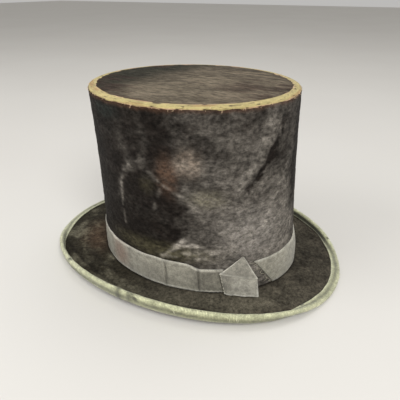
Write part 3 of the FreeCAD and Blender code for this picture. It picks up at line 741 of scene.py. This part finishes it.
def make_brim_plush():
    """Plush over the brim, rubbed and dusty on the front-left quarter."""
    marks = brim_marks(-0.01, 2.97, 60, 34, 6)
    points, normals = brim_sheet([at_station(mark) for mark in marks])
    across = marks[:, None] / 3 + 0 * ROUND
    turns = turns_round + 0 * across
    angle = degrees + 0 * across
    reach = marks[:, None] + 0 * ROUND
    hills = 0.3 * layered(turns, across, 26, 4, 121, 3) + 0.12 * noise(turns, across, 240, 30, 124)
    calm = smooth(across, 0.02, 0.1) * (1 - smooth(across, 0.52, 0.6))
    upper = points + normals * (BRIM_TOP + hills * calm)[..., None]
    low_rows = np.linspace(0, len(marks) - 1, 8).round().astype(int)
    lower = points[low_rows] + normals[low_rows] * (HALF_BOARD + 0.1)
    mottle = layered(turns, across, 40, 8, 131, 4)
    grain = noise(turns, across, 239, 40, 135)
    tone = tint(58, 54, 46) * (1 + 0.55 * mottle + 0.3 * grain)[..., None]
    dark_front = smooth(-angle, -25, 25) * (1 - smooth(-angle, 100, 130))
    tone = paint(tone, (34, 31, 22), 0.75 * dark_front)
    dusty = smooth(mottle + 0.5 * layered(turns, across, 130, 24, 141), -0.1, 0.8)
    tone = paint(tone, (108, 104, 88), 0.6 * dusty * dark_front)
    tone = paint(tone, (84, 80, 68), 0.6 * patch(angle, reach, (30, 0.6), (34, 0.5)))
    tone = paint(tone, EARTH, 0.5 * patch(angle, reach, (-62, 0.25), (18, 0.35)))
    tone = paint(tone, EARTH, 0.45 * patch(angle, reach, (46, 1.25), (14, 0.3)))
    # Painted shade along creases in the plush.
    crease_shade_lines = ([(-52, 0.9), (-30, 0.75), (-12, 0.85)], [(-44, 0.45), (-20, 0.35)], [(4, 0.95), (26, 0.8)])
    for line in crease_shade_lines:
        crease_shade = stroke(angle * 1.7, reach * 30, [(x * 1.7, y * 30) for x, y in line], 1.8)
        tone = paint(tone, (26, 23, 18), 0.6 * crease_shade)
    # Painted shade in the curl of the brim's edge.
    tone = paint(tone, (18, 16, 12), 0.75 * smooth(reach, 1.3, 1.7))
    # Painted shade in the corner where the brim meets the crown.
    tone = paint(tone, (18, 15, 12), 0.75 * (1 - smooth(reach, 0.0, 0.12)))
    loop_piece("brim_silk_plush", "brim_plush", upper, lower, np.maximum(tone, LEAST_TONE),
               plush_look("brim nap", (1, 1, 1)))


def make_under_cover():
    """Fine ribbed silk stretched under the brim."""
    marks = brim_marks(-0.03, 2.97)
    points, normals = brim_sheet([at_station(mark) for mark in marks])
    across = marks[:, None] / 3 + 0 * ROUND
    turns = turns_round + 0 * across
    calm = smooth(across, 0.03, 0.12) * (1 - smooth(across, 0.45, 0.5))
    rolls = 0.2 * layered(turns, across, 34, 3, 151, 3) * calm
    lower = points + normals * (-HALF_BOARD - 0.08)
    upper = points + normals * (BRIM_UNDER - rolls)[..., None]
    tone = tint(52, 47, 42) * (1 + 0.3 * layered(turns, across, 30, 6, 155, 4))[..., None]
    tone = paint(tone, (98, 84, 62), 0.5 * smooth(layered(turns, across, 14, 3, 161, 3), 0.15, 0.55))
    rows = np.linspace(0, len(marks) - 1, 8).round().astype(int)
    loop_piece("brim_under_silk", "brim_under_cover", upper, lower[rows], tone,
               cloth_look("under silk", 900, 40, coarse=0.6, sheen=0.2))


def make_binding():
    """Grosgrain ribbon folded over the brim's edge, puckered, with pale selvedges and a joint."""
    over = np.linspace(BINDING_OVER, 0, 12)
    under = np.linspace(0, BINDING_UNDER, 16)
    swings = np.pi / 2 - np.pi * np.arange(1, 8) / 8
    middle, reach = (BRIM_TOP + BRIM_UNDER) / 2, (BRIM_TOP - BRIM_UNDER) / 2
    sheets = []
    for clear in (0.72, 0.06):
        insets = np.concatenate([over, -(reach + clear) * np.cos(swings), under])
        offsets = np.concatenate([np.full(12, BRIM_TOP + clear), middle + (reach + clear) * np.sin(swings),
                                  np.full(16, BRIM_UNDER - clear)])
        points, normals = brim_sheet([from_edge(inset) for inset in insets])
        sheets.append((points, normals, offsets))
    count = len(sheets[0][2])
    share = evenly(count) + 0 * ROUND
    turns = turns_round + 0 * share
    pucker = 0.28 * layered(turns, share, 120, 3, 171, 2) + 0.3 * layered(turns, share, 22, 2, 175, 2)
    outward = np.sign(sheets[0][2] - middle)[:, None]
    joint = ridge(degrees, BINDING_JOINT, 1.1) + 0.7 * ridge(degrees, BINDING_JOINT + 4, 0.8)
    lift = (pucker * 0.8 + 0.5 * joint) * np.abs(np.sin(np.pi * np.clip(share, 0.04, 0.96))) ** 0.4
    points, normals, offsets = sheets[0]
    upper = points + normals * (offsets[:, None] + outward * np.maximum(lift, -0.35))[..., None]
    wander = 0.45 * layered(turns_round, 0 * turns_round, 50, 1, 181)
    inward = np.stack([-brim_out[:, 0], -brim_out[:, 1], 0 * ROUND], -1)
    for row, amount in ((0, 1.0), (1, 0.6), (2, 0.3)):
        upper[row] += inward * (wander * amount)[:, None]
    points, normals, offsets = sheets[1]
    lower = points + normals * offsets[:, None, None]
    lower[0] += inward * wander[:, None]
    worn = layered(turns, share, 60, 4, 185, 4)
    tone = BINDING * (1 + 0.3 * worn)[..., None]
    selvedge = ridge(share, 0, 0.05) + ridge(share, 1, 0.05)
    edge = ridge(share, 0.44, 0.1)
    # Painted shade: darker bands along the middle of the ribbon's upper and under faces.
    middle_shade = ridge(share, 0.2, 0.1) + ridge(share, 0.72, 0.12)
    tone = paint(tone, (86, 86, 64), 0.7 * middle_shade)
    # Painted shade over the ribbon's upper face inside the curl, from 112 to 168 degrees.
    shaded = smooth(degrees, 112, 126) * (1 - smooth(degrees, 152, 168))
    tone = paint(tone, (34, 32, 26), 0.85 * shaded * (1 - smooth(share, 0.26, 0.34)))
    # Pale selvedges, and a pale crest along the fold over the edge that is partly wear and partly painted
    # highlight.
    tone = paint(tone, (204, 204, 172), 0.6 * np.maximum(selvedge, edge * (0.7 + 0.5 * worn)))
    tone = paint(tone, (44, 42, 32), 0.85 * smooth(worn + 0.4 * noise(turns, share, 230, 5, 191), 0.62, 0.95))
    tone = paint(tone, (40, 38, 30), 0.8 * joint * (np.abs(share - 0.5) < 0.47))
    tone = np.maximum(tone, LEAST_TONE)
    loop_piece("brim_ribbon_binding", "brim_binding", upper, lower, tone,
               ribbon_look("binding grosgrain", turns=760, sheen=0.25))


# ---------------------------------------------------------------- hat band and flat bow

BAND_END = 36.8
SLANT_FOOT = 67.6
SLANT_TOP = 54.5


def make_band():
    """Grosgrain round the foot of the crown, gathered beside the bow and open behind it."""
    columns, rows = 460, 20
    share = evenly(rows)
    along = np.linspace(0, 1, columns)
    stop = SLANT_FOOT + (SLANT_TOP - SLANT_FOOT) * share
    angle = BAND_END - along * (360 - (stop - BAND_END))
    turns = angle / 360
    wrapped = np.mod(angle + 180, 360) - 180
    gathered = smooth(wrapped, 17, 25) * (1 - smooth(wrapped, 36, 44))
    ragged = 0.5 * layered(turns, 0 * turns, 40, 1, 201)
    top = BAND_HEIGHT - 0.3 + ragged - 4.5 * gathered
    height = 0.25 + 0.3 * noise(turns, 0 * turns, 30, 1, 205) ** 2 + share * (top - 0.25)
    folds = (ridge(wrapped, 5.5, 0.7) + ridge(wrapped, 22.5, 0.8)
             + 0.6 * ridge(wrapped, 25.5, 0.5) + 0.5 * ridge(wrapped, -48, 0.8)
             + 0.5 * ridge(wrapped, 118, 0.8))
    gathers = gathered * np.abs(np.sin(np.radians(wrapped) * 78 + 1.2 * share))
    billow = 0.7 * layered(turns, share, 24, 2, 211, 2) + 0.18 * layered(turns, share, 110, 5, 215, 2)
    flare = 1.5 * smooth(wrapped, 72, 96) * (1 - smooth(wrapped, 118, 142)) * np.sin(np.pi * share) ** 0.5
    outer = 1.25 + flare + np.clip(billow, -0.3, 0.9) + 0.9 * folds * (0.6 + 0.4 * share) + 0.8 * gathers
    outer = 0.55 + (outer - 0.55) * (1 - 0.35 * (np.abs(share - 0.5) > 0.49))
    radians = np.radians(angle)
    upper = wall(radians, height, -outer)
    lower = wall(radians, height, -0.3)
    worn = layered(turns, share, 46, 4, 221, 4)
    tone = RIBBON * (1 + 0.22 * worn)[..., None]
    # Painted shade where the band is gathered beside the bow, deepest along the gathers.
    tone = paint(tone, (96, 92, 82), 0.5 * gathered * (0.6 + 0.4 * gathers))
    # Painted shade in the creases beside two folds.
    tone = paint(tone, (58, 54, 46), 0.75 * ridge(wrapped, 6.6, 0.5))
    tone = paint(tone, (50, 46, 40), 0.75 * ridge(wrapped, 23.8, 0.6))
    tone = paint(tone, (146, 120, 104), 0.7 * patch(wrapped, 30 * share, (-26, 16), (7, 16)))
    selvedge = np.clip(0.8 + 0.4 * layered(turns, share, 60, 1, 225, 2), 0, 1)
    tone = paint(tone, (232, 229, 214), 0.9 * selvedge * ridge(share, 0.03, 0.042))
    tone = paint(tone, (212, 208, 194), 0.8 * selvedge * ridge(share, 0.98, 0.036))
    tone = paint(tone, (178, 174, 158), 0.5 * smooth(wrapped, 62, 80) * (1 - smooth(wrapped, 100, 125)))
    loop_piece("hat_band_ribbon", "hat_band", upper, lower, tone,
               ribbon_look("band grosgrain", turns=560, rows=0, sheen=0.2), ends=True)


BOW_ANGLE = math.radians(34.0)
BOW_SWING = math.radians(7.0)
BOW_WIDTH = 36.0
BOW_HEIGHT = 24.0
THREAD = 0.3
bow_heading = math.atan2(math.sin(BOW_ANGLE) / FOOT_LENGTH, math.cos(BOW_ANGLE) / FOOT_WIDTH) - BOW_SWING
bow_out = np.array([math.cos(bow_heading), math.sin(bow_heading), 0])
bow_side = np.array([-math.sin(bow_heading), math.cos(bow_heading), 0])
bow_foot = wall(np.array(BOW_ANGLE), np.array(0.0), -1.8)


def on_bow(side, up, out):
    """Points in the flat bow's own frame: across it to the rear, up, and out from the crown."""
    side, up, out = [part[..., None] for part in np.broadcast_arrays(side, up, out)]
    return bow_foot + side * bow_side + out * bow_out + up * np.array([0, 0, 1.0])


def make_bow():
    """A flattened ribbon loop with a pointed corner folded down over its top."""
    look = ribbon_look("bow grosgrain", turns=0, rows=95, sheen=0.2)
    share = evenly(40)
    back = np.linspace(4, 34.6, 26)
    swing = np.linspace(-math.pi / 2, math.pi / 2, 9)[1:-1]
    front = np.linspace(35.2, 0, 52)
    side = np.concatenate([back, 35.0 + 0.8 * np.cos(swing), front])
    depth = np.concatenate([0.35 - 0.3 * np.sin(np.pi * (back - 4) / 31), 1.2 + 0.8 * np.sin(swing),
                            2.0 + 0.9 * np.sin(np.pi * front / 36) ** 0.8 - 0.5 * smooth(front, 6, 0)])
    left, right = 5 * (1 - share), BOW_WIDTH - 2.6 * share
    across = left + (right - left) * side / BOW_WIDTH
    top = BOW_HEIGHT - 2.2 * across / 33.5
    up = 0.6 + share * (top - 0.6) + 0.25 * np.sin(across * 0.5)
    ripple = 0.22 * np.sin(across * 1.9 + 0.6 * np.sin(share * 5)) * (1 - smooth(across, 6, 16))
    outer = depth + ripple + 0.25 * noise(across / 60, share, 9, 4, 231)
    facing = np.sign(np.concatenate([-np.ones(26), np.zeros(7), np.ones(52)]))
    shift = 0.22 * facing
    bend = np.concatenate([0 * back, 0.22 * np.cos(swing), 0 * front])
    rise = np.concatenate([0 * back, 0.22 * np.sin(swing), 0 * front])
    upper = on_bow(across + bend, up, outer + shift + rise)
    lower = on_bow(across - bend, up, outer - shift - rise)
    worn = layered(across / 60, share, 10, 6, 235, 4)
    tone = tint(166, 162, 149) * (1 + 0.2 * worn)[..., None]
    # Painted shade where the ribbon is gathered near its front edge.
    tone = paint(tone, (112, 108, 96), 0.6 * patch(across, 24 * share, (7, 12), (5, 18)))
    tone = paint(tone, (226, 223, 210), 0.8 * ridge(share, 0.03, 0.04))
    tone = paint(tone, (226, 223, 210), 0.8 * ridge(across, 35, 0.9))
    loop_piece("bow_ribbon_loop", "bow_tab", upper, lower, tone, look, ends=True)

    columns = 44
    along = np.linspace(0, 1, columns)
    lift = np.linspace(0, 0.97, 30)[:, None]
    base_side, base_up = -0.3 + 34.4 * along, 23.4 - 2.0 * along
    side = base_side * (1 - lift) + 20.3 * lift
    up = base_up * (1 - lift) + 43.2 * lift
    puff = 0.8 * np.sin(np.pi * along) ** 0.6 * np.sin(np.pi * (0.12 + 0.8 * lift)) ** 0.7
    out = 3.1 + puff - 1.9 * lift ** 1.5 + 0.15 * noise(side / 60, lift, 9, 4, 241)
    sag = 0.5 * np.sin(np.pi * along)
    upper = on_bow(side, up - sag * (1 - lift), out)
    lower = on_bow(side, up - sag * (1 - lift), out - 0.5)
    worn = layered(side / 60, lift, 10, 6, 245, 4)
    tone = tint(144, 140, 128) * (1 + 0.2 * worn)[..., None]
    tone = paint(tone, (216, 212, 198), 0.8 * ridge(lift, 0, 0.05))
    tone = paint(tone, (212, 208, 194), 0.8 * (ridge(along, 0, 0.04) + ridge(along, 1, 0.04)))
    loop_piece("bow_ribbon_flap", "bow_tab", upper, lower, tone, look, ends=True)


def make_bow_stitches():
    """Pale tacking stitches down the bow's front edge."""
    lines = []
    for i in range(6):
        low = np.array([4.9 - i * 0.72, 3.0 + i * 3.5])
        steps = np.linspace(0, 1, 6)
        lines.append(on_bow(low[0] - 0.5 * steps, low[1] + 2.0 * steps, 2.25 + 0.5 * np.sin(np.pi * steps)))
    cords("bow_tack_stitches", "bow_stitches", lines, THREAD, tint(205, 200, 180),
          thread_look("tacking thread"))


def loose_threads(name, starts, colour, radius=0.14):
    """Short frayed ends: (point, heading, length) for each thread."""
    rng = np.random.default_rng(len(name))
    lines = []
    for point, heading, length in starts:
        steps = evenly(7)
        heading = np.asarray(heading) / np.linalg.norm(heading)
        bend = rng.normal(0, 0.45, 3) * length
        lines.append(np.asarray(point) + heading * steps * length + bend * steps ** 2)
    cords(name, None, lines, radius, colour, thread_look(name + " fibre"))


def make_frays():
    """Loose fibres where the ribbon ends and the worn edges have come apart."""
    rng = np.random.default_rng(7)
    starts = []
    for share in np.linspace(0.05, 0.95, 14):
        angle = math.radians(SLANT_FOOT + (SLANT_TOP - SLANT_FOOT) * share - 0.3)
        point = wall(np.array(angle), np.array(BAND_HEIGHT * share), -1.6)
        starts.append((point, (0.7, -1.2 + rng.normal(0, 0.4), rng.normal(-0.3, 0.5)), rng.uniform(2, 5)))
    loose_threads("band_end_fray", starts, tint(176, 170, 148))

    starts = []
    edge, normals = brim_sheet([from_edge(0.0)])
    for middle, spread, count in BINDING_FRAYS:
        for _ in range(count):
            column = int((middle + rng.normal(0, spread) + 180) / 360 * COLUMNS) % COLUMNS
            outward = brim_out[column]
            point = edge[0, column] + normals[0, column] * rng.uniform(-1.2, 2.4) + np.append(outward, 0)
            heading = np.append(outward * rng.uniform(0.2, 1), rng.uniform(-0.2, 0.9)) + rng.normal(0, 0.5, 3)
            starts.append((point, heading, rng.uniform(1.5, 3.5)))
    loose_threads("binding_fray", starts, tint(200, 200, 170))

    starts = []
    for _ in range(170):
        angle = rng.uniform(-math.pi, math.pi)
        height = RISE - EDGE_FALL + rng.uniform(-0.8, 0.6)
        point = wall(np.array(angle), np.array(height), 0.1)
        heading = (math.cos(angle) * 0.25 + rng.normal(0, 0.5), math.sin(angle) * 0.25 + rng.normal(0, 0.5),
                   rng.normal(-0.2, 0.4))
        starts.append((point, heading, rng.uniform(0.8, 2.0)))
    loose_threads("edge_cloth_fray", starts, tint(214, 186, 150), radius=0.12)


BINDING_JOINT = -4.0
BINDING_FRAYS = [(15.0, 1.6, 24), (36.0, 1.8, 26), (96.0, 2.0, 8), (-140.0, 2.0, 8)]


# ---------------------------------------------------------------- inside

LINING_INSET = 2.8
SWEAT_INSET = 3.5
SWEAT_THICK = 1.1
SWEAT_LEAN = 1.4
GATHERS = 46
SWEAT_STITCHES = 84
STITCH_LEVEL = 2.6
REED = 0.8


def make_lining():
    """Satin side lining, gathered at the tip, and the tip lining."""
    share = evenly(90)
    top = RISE - EDGE_FALL - PLUSH - SHELL
    turns = turns_round + 0 * share
    drift = 1.5 * noise(turns, share, 20, 3, 251)
    gathers = np.abs(np.sin(ROUND * GATHERS + drift)) ** 0.7 * smooth(share, 0.35, 1.0)
    soft = 0.6 + 0.6 * layered(turns, share, 18, 5, 255, 3)
    inner = LINING_INSET + 0.45 + 1.3 * gathers + np.clip(soft, 0, 1.2) * smooth(share, 0.28, 0.4)
    upper = wall(ROUND, share * top, inner)
    lower = wall(ROUND, evenly(6) * top, LINING_INSET)
    tone = tint(206, 190, 156) * (1 + 0.1 * layered(turns, share, 20, 10, 259, 3))[..., None]
    # Darker and yellower in the hollows between the gathers towards the top: painted shade.
    tone = paint(tone, (150, 126, 88), 0.5 * (1 - gathers) * smooth(share, 0.5, 1))
    loop_piece("crown_side_lining", "side_lining", upper, lower, tone,
               satin_look("side satin"))

    low, high = corners("tip_lining")
    width, length = (high[0] - low[0]) / 2 - 0.2, (high[1] - low[1]) / 2 - 0.2
    middle = (high[1] + low[1]) / 2
    shares = np.concatenate([np.linspace(0.012, 0.94, 50), [0.97, 1.0]])[:, None]
    x, y = width * np.cos(ROUND) * shares, length * np.sin(ROUND) * shares + middle
    uneven = layered(turns_round + 0 * shares, shares, 14, 3, 263)
    puff = 1.1 * (1 - shares ** 4) + 0.6 * uneven * shares * (1 - shares)
    under = np.stack([x, y, low[2] - puff], -1)
    flat = np.array([1.0, 0.5, 0.012])[:, None]
    over = np.stack([width * np.cos(ROUND) * flat, length * np.sin(ROUND) * flat + middle,
                     np.full((3, COLUMNS), high[2])], -1)
    rows = np.concatenate([under, over])
    tone = np.broadcast_to(tint(206, 190, 156), rows.shape)
    disc_piece("crown_tip_lining", "tip_lining", rows, tone, satin_look("tip satin"))


def sweat_face(height):
    """How far in the sweatband's inner face stands at a height."""
    return SWEAT_INSET + SWEAT_THICK + SWEAT_LEAN * height / SWEAT_HEIGHT


def make_sweatband():
    """Leather band turned over the reed, its free upper edge waved by wear."""
    share = evenly(40)
    turns = turns_round + 0 * share
    height = share * (SWEAT_HEIGHT - 0.4 + 0.4 * noise(turns, 0 * turns, 40, 1, 271))
    wave = (1.1 * layered(turns, share, 12, 2, 275, 2) + 0.5 * noise(turns, share, 50, 4, 278)) * share ** 2
    inner = sweat_face(height) + np.maximum(wave, -0.2)
    upper = wall(ROUND, height, inner)
    lower = wall(ROUND, height, inner - 0.9)
    tone = tint(138, 94, 58) * (1 + 0.22 * layered(turns, share, 24, 6, 281, 4))[..., None]
    tone = paint(tone, (66, 42, 28), 0.55 * (1 - smooth(share, 0.0, 0.25)))
    tone = paint(tone, (92, 62, 40), 0.5 * smooth(share, 0.9, 1.0))
    loop_piece("leather_sweatband", "sweatband", upper, lower, tone,
               leather_look("sweat leather"))

    swing = np.linspace(0, 2 * math.pi, 14, endpoint=False)[:, None]
    middle = sweat_face(0) - SWEAT_THICK / 2
    reed = wall(ROUND, -REED - GAP + REED * np.sin(swing), middle + REED * np.cos(swing))
    wrap = 0.06 * np.sin(ROUND * 230 + swing)
    reed = reed + np.stack([wrap * np.cos(ROUND), wrap * np.sin(ROUND), 0 * wrap], -1)
    tone = np.broadcast_to(tint(60, 50, 40), (7, COLUMNS, 3))
    loop_piece("covered_reed", "sweatband_reed", reed[:7], reed[7:][::-1], tone,
               cloth_look("reed cover", 600, 300, coarse=0.8))

    lines = []
    steps = np.linspace(0, 1, 6)
    for i in range(SWEAT_STITCHES):
        angle = 2 * math.pi * (i + 0.15 + 0.7 * steps) / SWEAT_STITCHES
        proud = sweat_face(STITCH_LEVEL) - 0.1 + 0.5 * np.sin(np.pi * steps)
        lines.append(wall(angle, STITCH_LEVEL + 0 * angle, proud))
    cords("sweatband_running_stitch", "sweatband_stitches", lines, 0.28, tint(196, 180, 140),
          thread_look("sweatband thread"))


def quad_sheet(corner_points, out, thick, puff, rows=16, columns=16):
    """A pillowed ribbon panel between four corners: lower left, lower right, upper right, upper left."""
    a, b, c, d = [np.asarray(p, float) for p in corner_points]
    s, t = np.linspace(0, 1, columns)[None, :, None], np.linspace(0, 1, rows)[:, None, None]
    flat = (a * (1 - s) + b * s) * (1 - t) + (d * (1 - s) + c * s) * t
    swell = puff * np.sin(np.pi * s) * np.sin(np.pi * np.clip(t, 0.05, 0.95)) ** 0.6
    out = np.asarray(out, float)
    return flat + out * (thick / 2 + swell), flat - out * (thick / 2)


def make_back_fittings():
    """Tape over the sweatband's seam and the small flat bow sewn over it."""
    tape_low, tape_high = corners("sweatband_seam_tape")
    x = np.linspace(tape_high[0], tape_low[0], 14)
    share = evenly(30)
    height = 1.0 + (SWEAT_HEIGHT - 2.0) * share + 0.2 * np.sin(x * 2)
    angle = np.arccos(np.clip(x / (FOOT_WIDTH - 5), -1, 1)) + 0 * share
    inset = sweat_face(height) + 0.9 + 1.1 * share ** 2
    upper, lower = wall(angle, height, inset), wall(angle, height, inset - 0.6)
    look = ribbon_look("back ribbon", turns=9, rows=0, sheen=0.3, depth=0.00012)
    tone = tint(70, 58, 48) * (1 + 0.2 * noise(angle, share, 9, 9, 291))[..., None]
    loop_piece("sweatband_seam_ribbon", "sweatband_seam_tape", upper, lower, tone, look,
               ends=True)

    low, high = corners("sweatband_bow")
    y, z = low[1] + 0.2, (low[2] + high[2]) / 2 + 2.2
    out = (0, -1, 0)
    back = y + 0.7
    knot = [(x, y - 0.8, z + up) for x, up in ((-2.4, -2.6), (2.4, -2.6), (2.4, 2.6), (-2.4, 2.6))]
    loop_left = [(2, y, z - 2), (12.6, y, z - 4.8), (12.8, y, z + 5.6), (2, y, z + 2)]
    loop_right = [(-12.6, y, z - 4.8), (-2, y, z - 2), (-2, y, z + 2), (-12.8, y, z + 5.6)]
    tail_left = [(4.4, back, z - 10.2), (8.4, back, z - 9.6), (3, y, z - 1), (0.2, y, z - 1)]
    tail_right = [(-8.4, back, z - 9.6), (-4.4, back, z - 10.2), (-0.2, y, z - 1), (-3, y, z - 1)]
    parts = {"back_bow_loop_left": (loop_left, 1.3), "back_bow_loop_right": (loop_right, 1.3),
             "back_bow_tail_left": (tail_left, 0.4), "back_bow_tail_right": (tail_right, 0.4),
             "back_bow_knot": (knot, 1.0)}
    for name, (quad, puff) in parts.items():
        upper, lower = quad_sheet(quad, out, 0.6, puff)
        tone = np.broadcast_to(tint(72, 58, 46), upper.shape)
        loop_piece(name, "sweatband_bow", upper, lower, tone, look, ends=True)


def finish_frame_nodes():
    """The stiff layers between plush and lining keep the frame's meshes."""
    looks = {"crown_shell": tint(96, 62, 34), "tip_shell": tint(104, 70, 40), "brim_shell": tint(90, 58, 32),
             "crown_joint_strip": tint(150, 124, 84)}
    for node, colour in looks.items():
        material = board_look(node + " board", colour)
        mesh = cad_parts[node].data
        mesh.materials.clear()
        mesh.materials.append(material)


# ---------------------------------------------------------------- room, light and camera

def area_light(name, place, aim, size, energy, colour=(1, 1, 1)):
    data = bpy.data.lights.new(name, "AREA")
    data.shape, data.size, data.energy, data.color = "DISK", size, energy, colour
    lamp = bpy.data.objects.new(name, data)
    lamp.location = place
    lamp.rotation_euler = (Vector(aim) - Vector(place)).to_track_quat("-Z", "Y").to_euler()
    bpy.context.scene.collection.objects.link(lamp)


CAMERA_PLACE = (0.3407, 0.1846, 0.2573)
CAMERA_HEADING = (-0.7865, -0.4081, -0.4636)
CAMERA_LENS = 37.0
SENSOR = 36.0
FLOOR = 6


def make_room():
    """Plain pale floor with soft light from the wearer's back-left, and the camera."""
    mesh = bpy.data.meshes.new("floor")
    floor_corners = [(-FLOOR, -FLOOR, 0), (FLOOR, -FLOOR, 0), (FLOOR, FLOOR, 0), (-FLOOR, FLOOR, 0)]
    mesh.from_pydata(floor_corners, [], [(0, 1, 2, 3)])
    floor = bpy.data.objects.new("floor", mesh)
    bpy.context.scene.collection.objects.link(floor)
    look = Look("pale floor", roughness=0.9, specular=0.1)
    cloud = look.noise(3, (1, 1, 1), 2, 0.5)
    colour = look.mix(cloud, (*tint(206, 203, 198), 1), (*tint(212, 210, 205), 1))
    mesh.materials.append(look.finish(colour, cloud, 0.0001))

    world = bpy.data.worlds.new("studio")
    world.use_nodes = True
    world.node_tree.nodes["Background"].inputs[0].default_value = (1.0, 0.985, 0.96, 1)
    world.node_tree.nodes["Background"].inputs[1].default_value = 0.5
    bpy.context.scene.world = world
    area_light("key", (1.05, 0.95, 1.35), (0, 0, 0.09), 1.0, 26)
    area_light("fill", (1.1, -1.1, 1.1), (0, 0, 0.08), 1.4, 13)
    area_light("top", (-0.5, 0.1, 1.9), (0, 0, 0.1), 1.2, 8)

    data = bpy.data.cameras.new("camera")
    data.sensor_width, data.lens = SENSOR, CAMERA_LENS
    data.clip_start = 0.01
    camera = bpy.data.objects.new("camera", data)
    camera.location = CAMERA_PLACE
    camera.rotation_euler = Vector(CAMERA_HEADING).to_track_quat("-Z", "Y").to_euler()
    bpy.context.scene.collection.objects.link(camera)
    bpy.context.scene.camera = camera
    bpy.context.scene.view_settings.view_transform = "Standard"


make_crown_plush()
make_edge_strip()
make_tip_plush()
make_brim_plush()
make_under_cover()
make_binding()
make_band()
make_bow()
make_bow_stitches()
make_frays()
make_lining()
make_sweatband()
make_back_fittings()
finish_frame_nodes()
make_room()
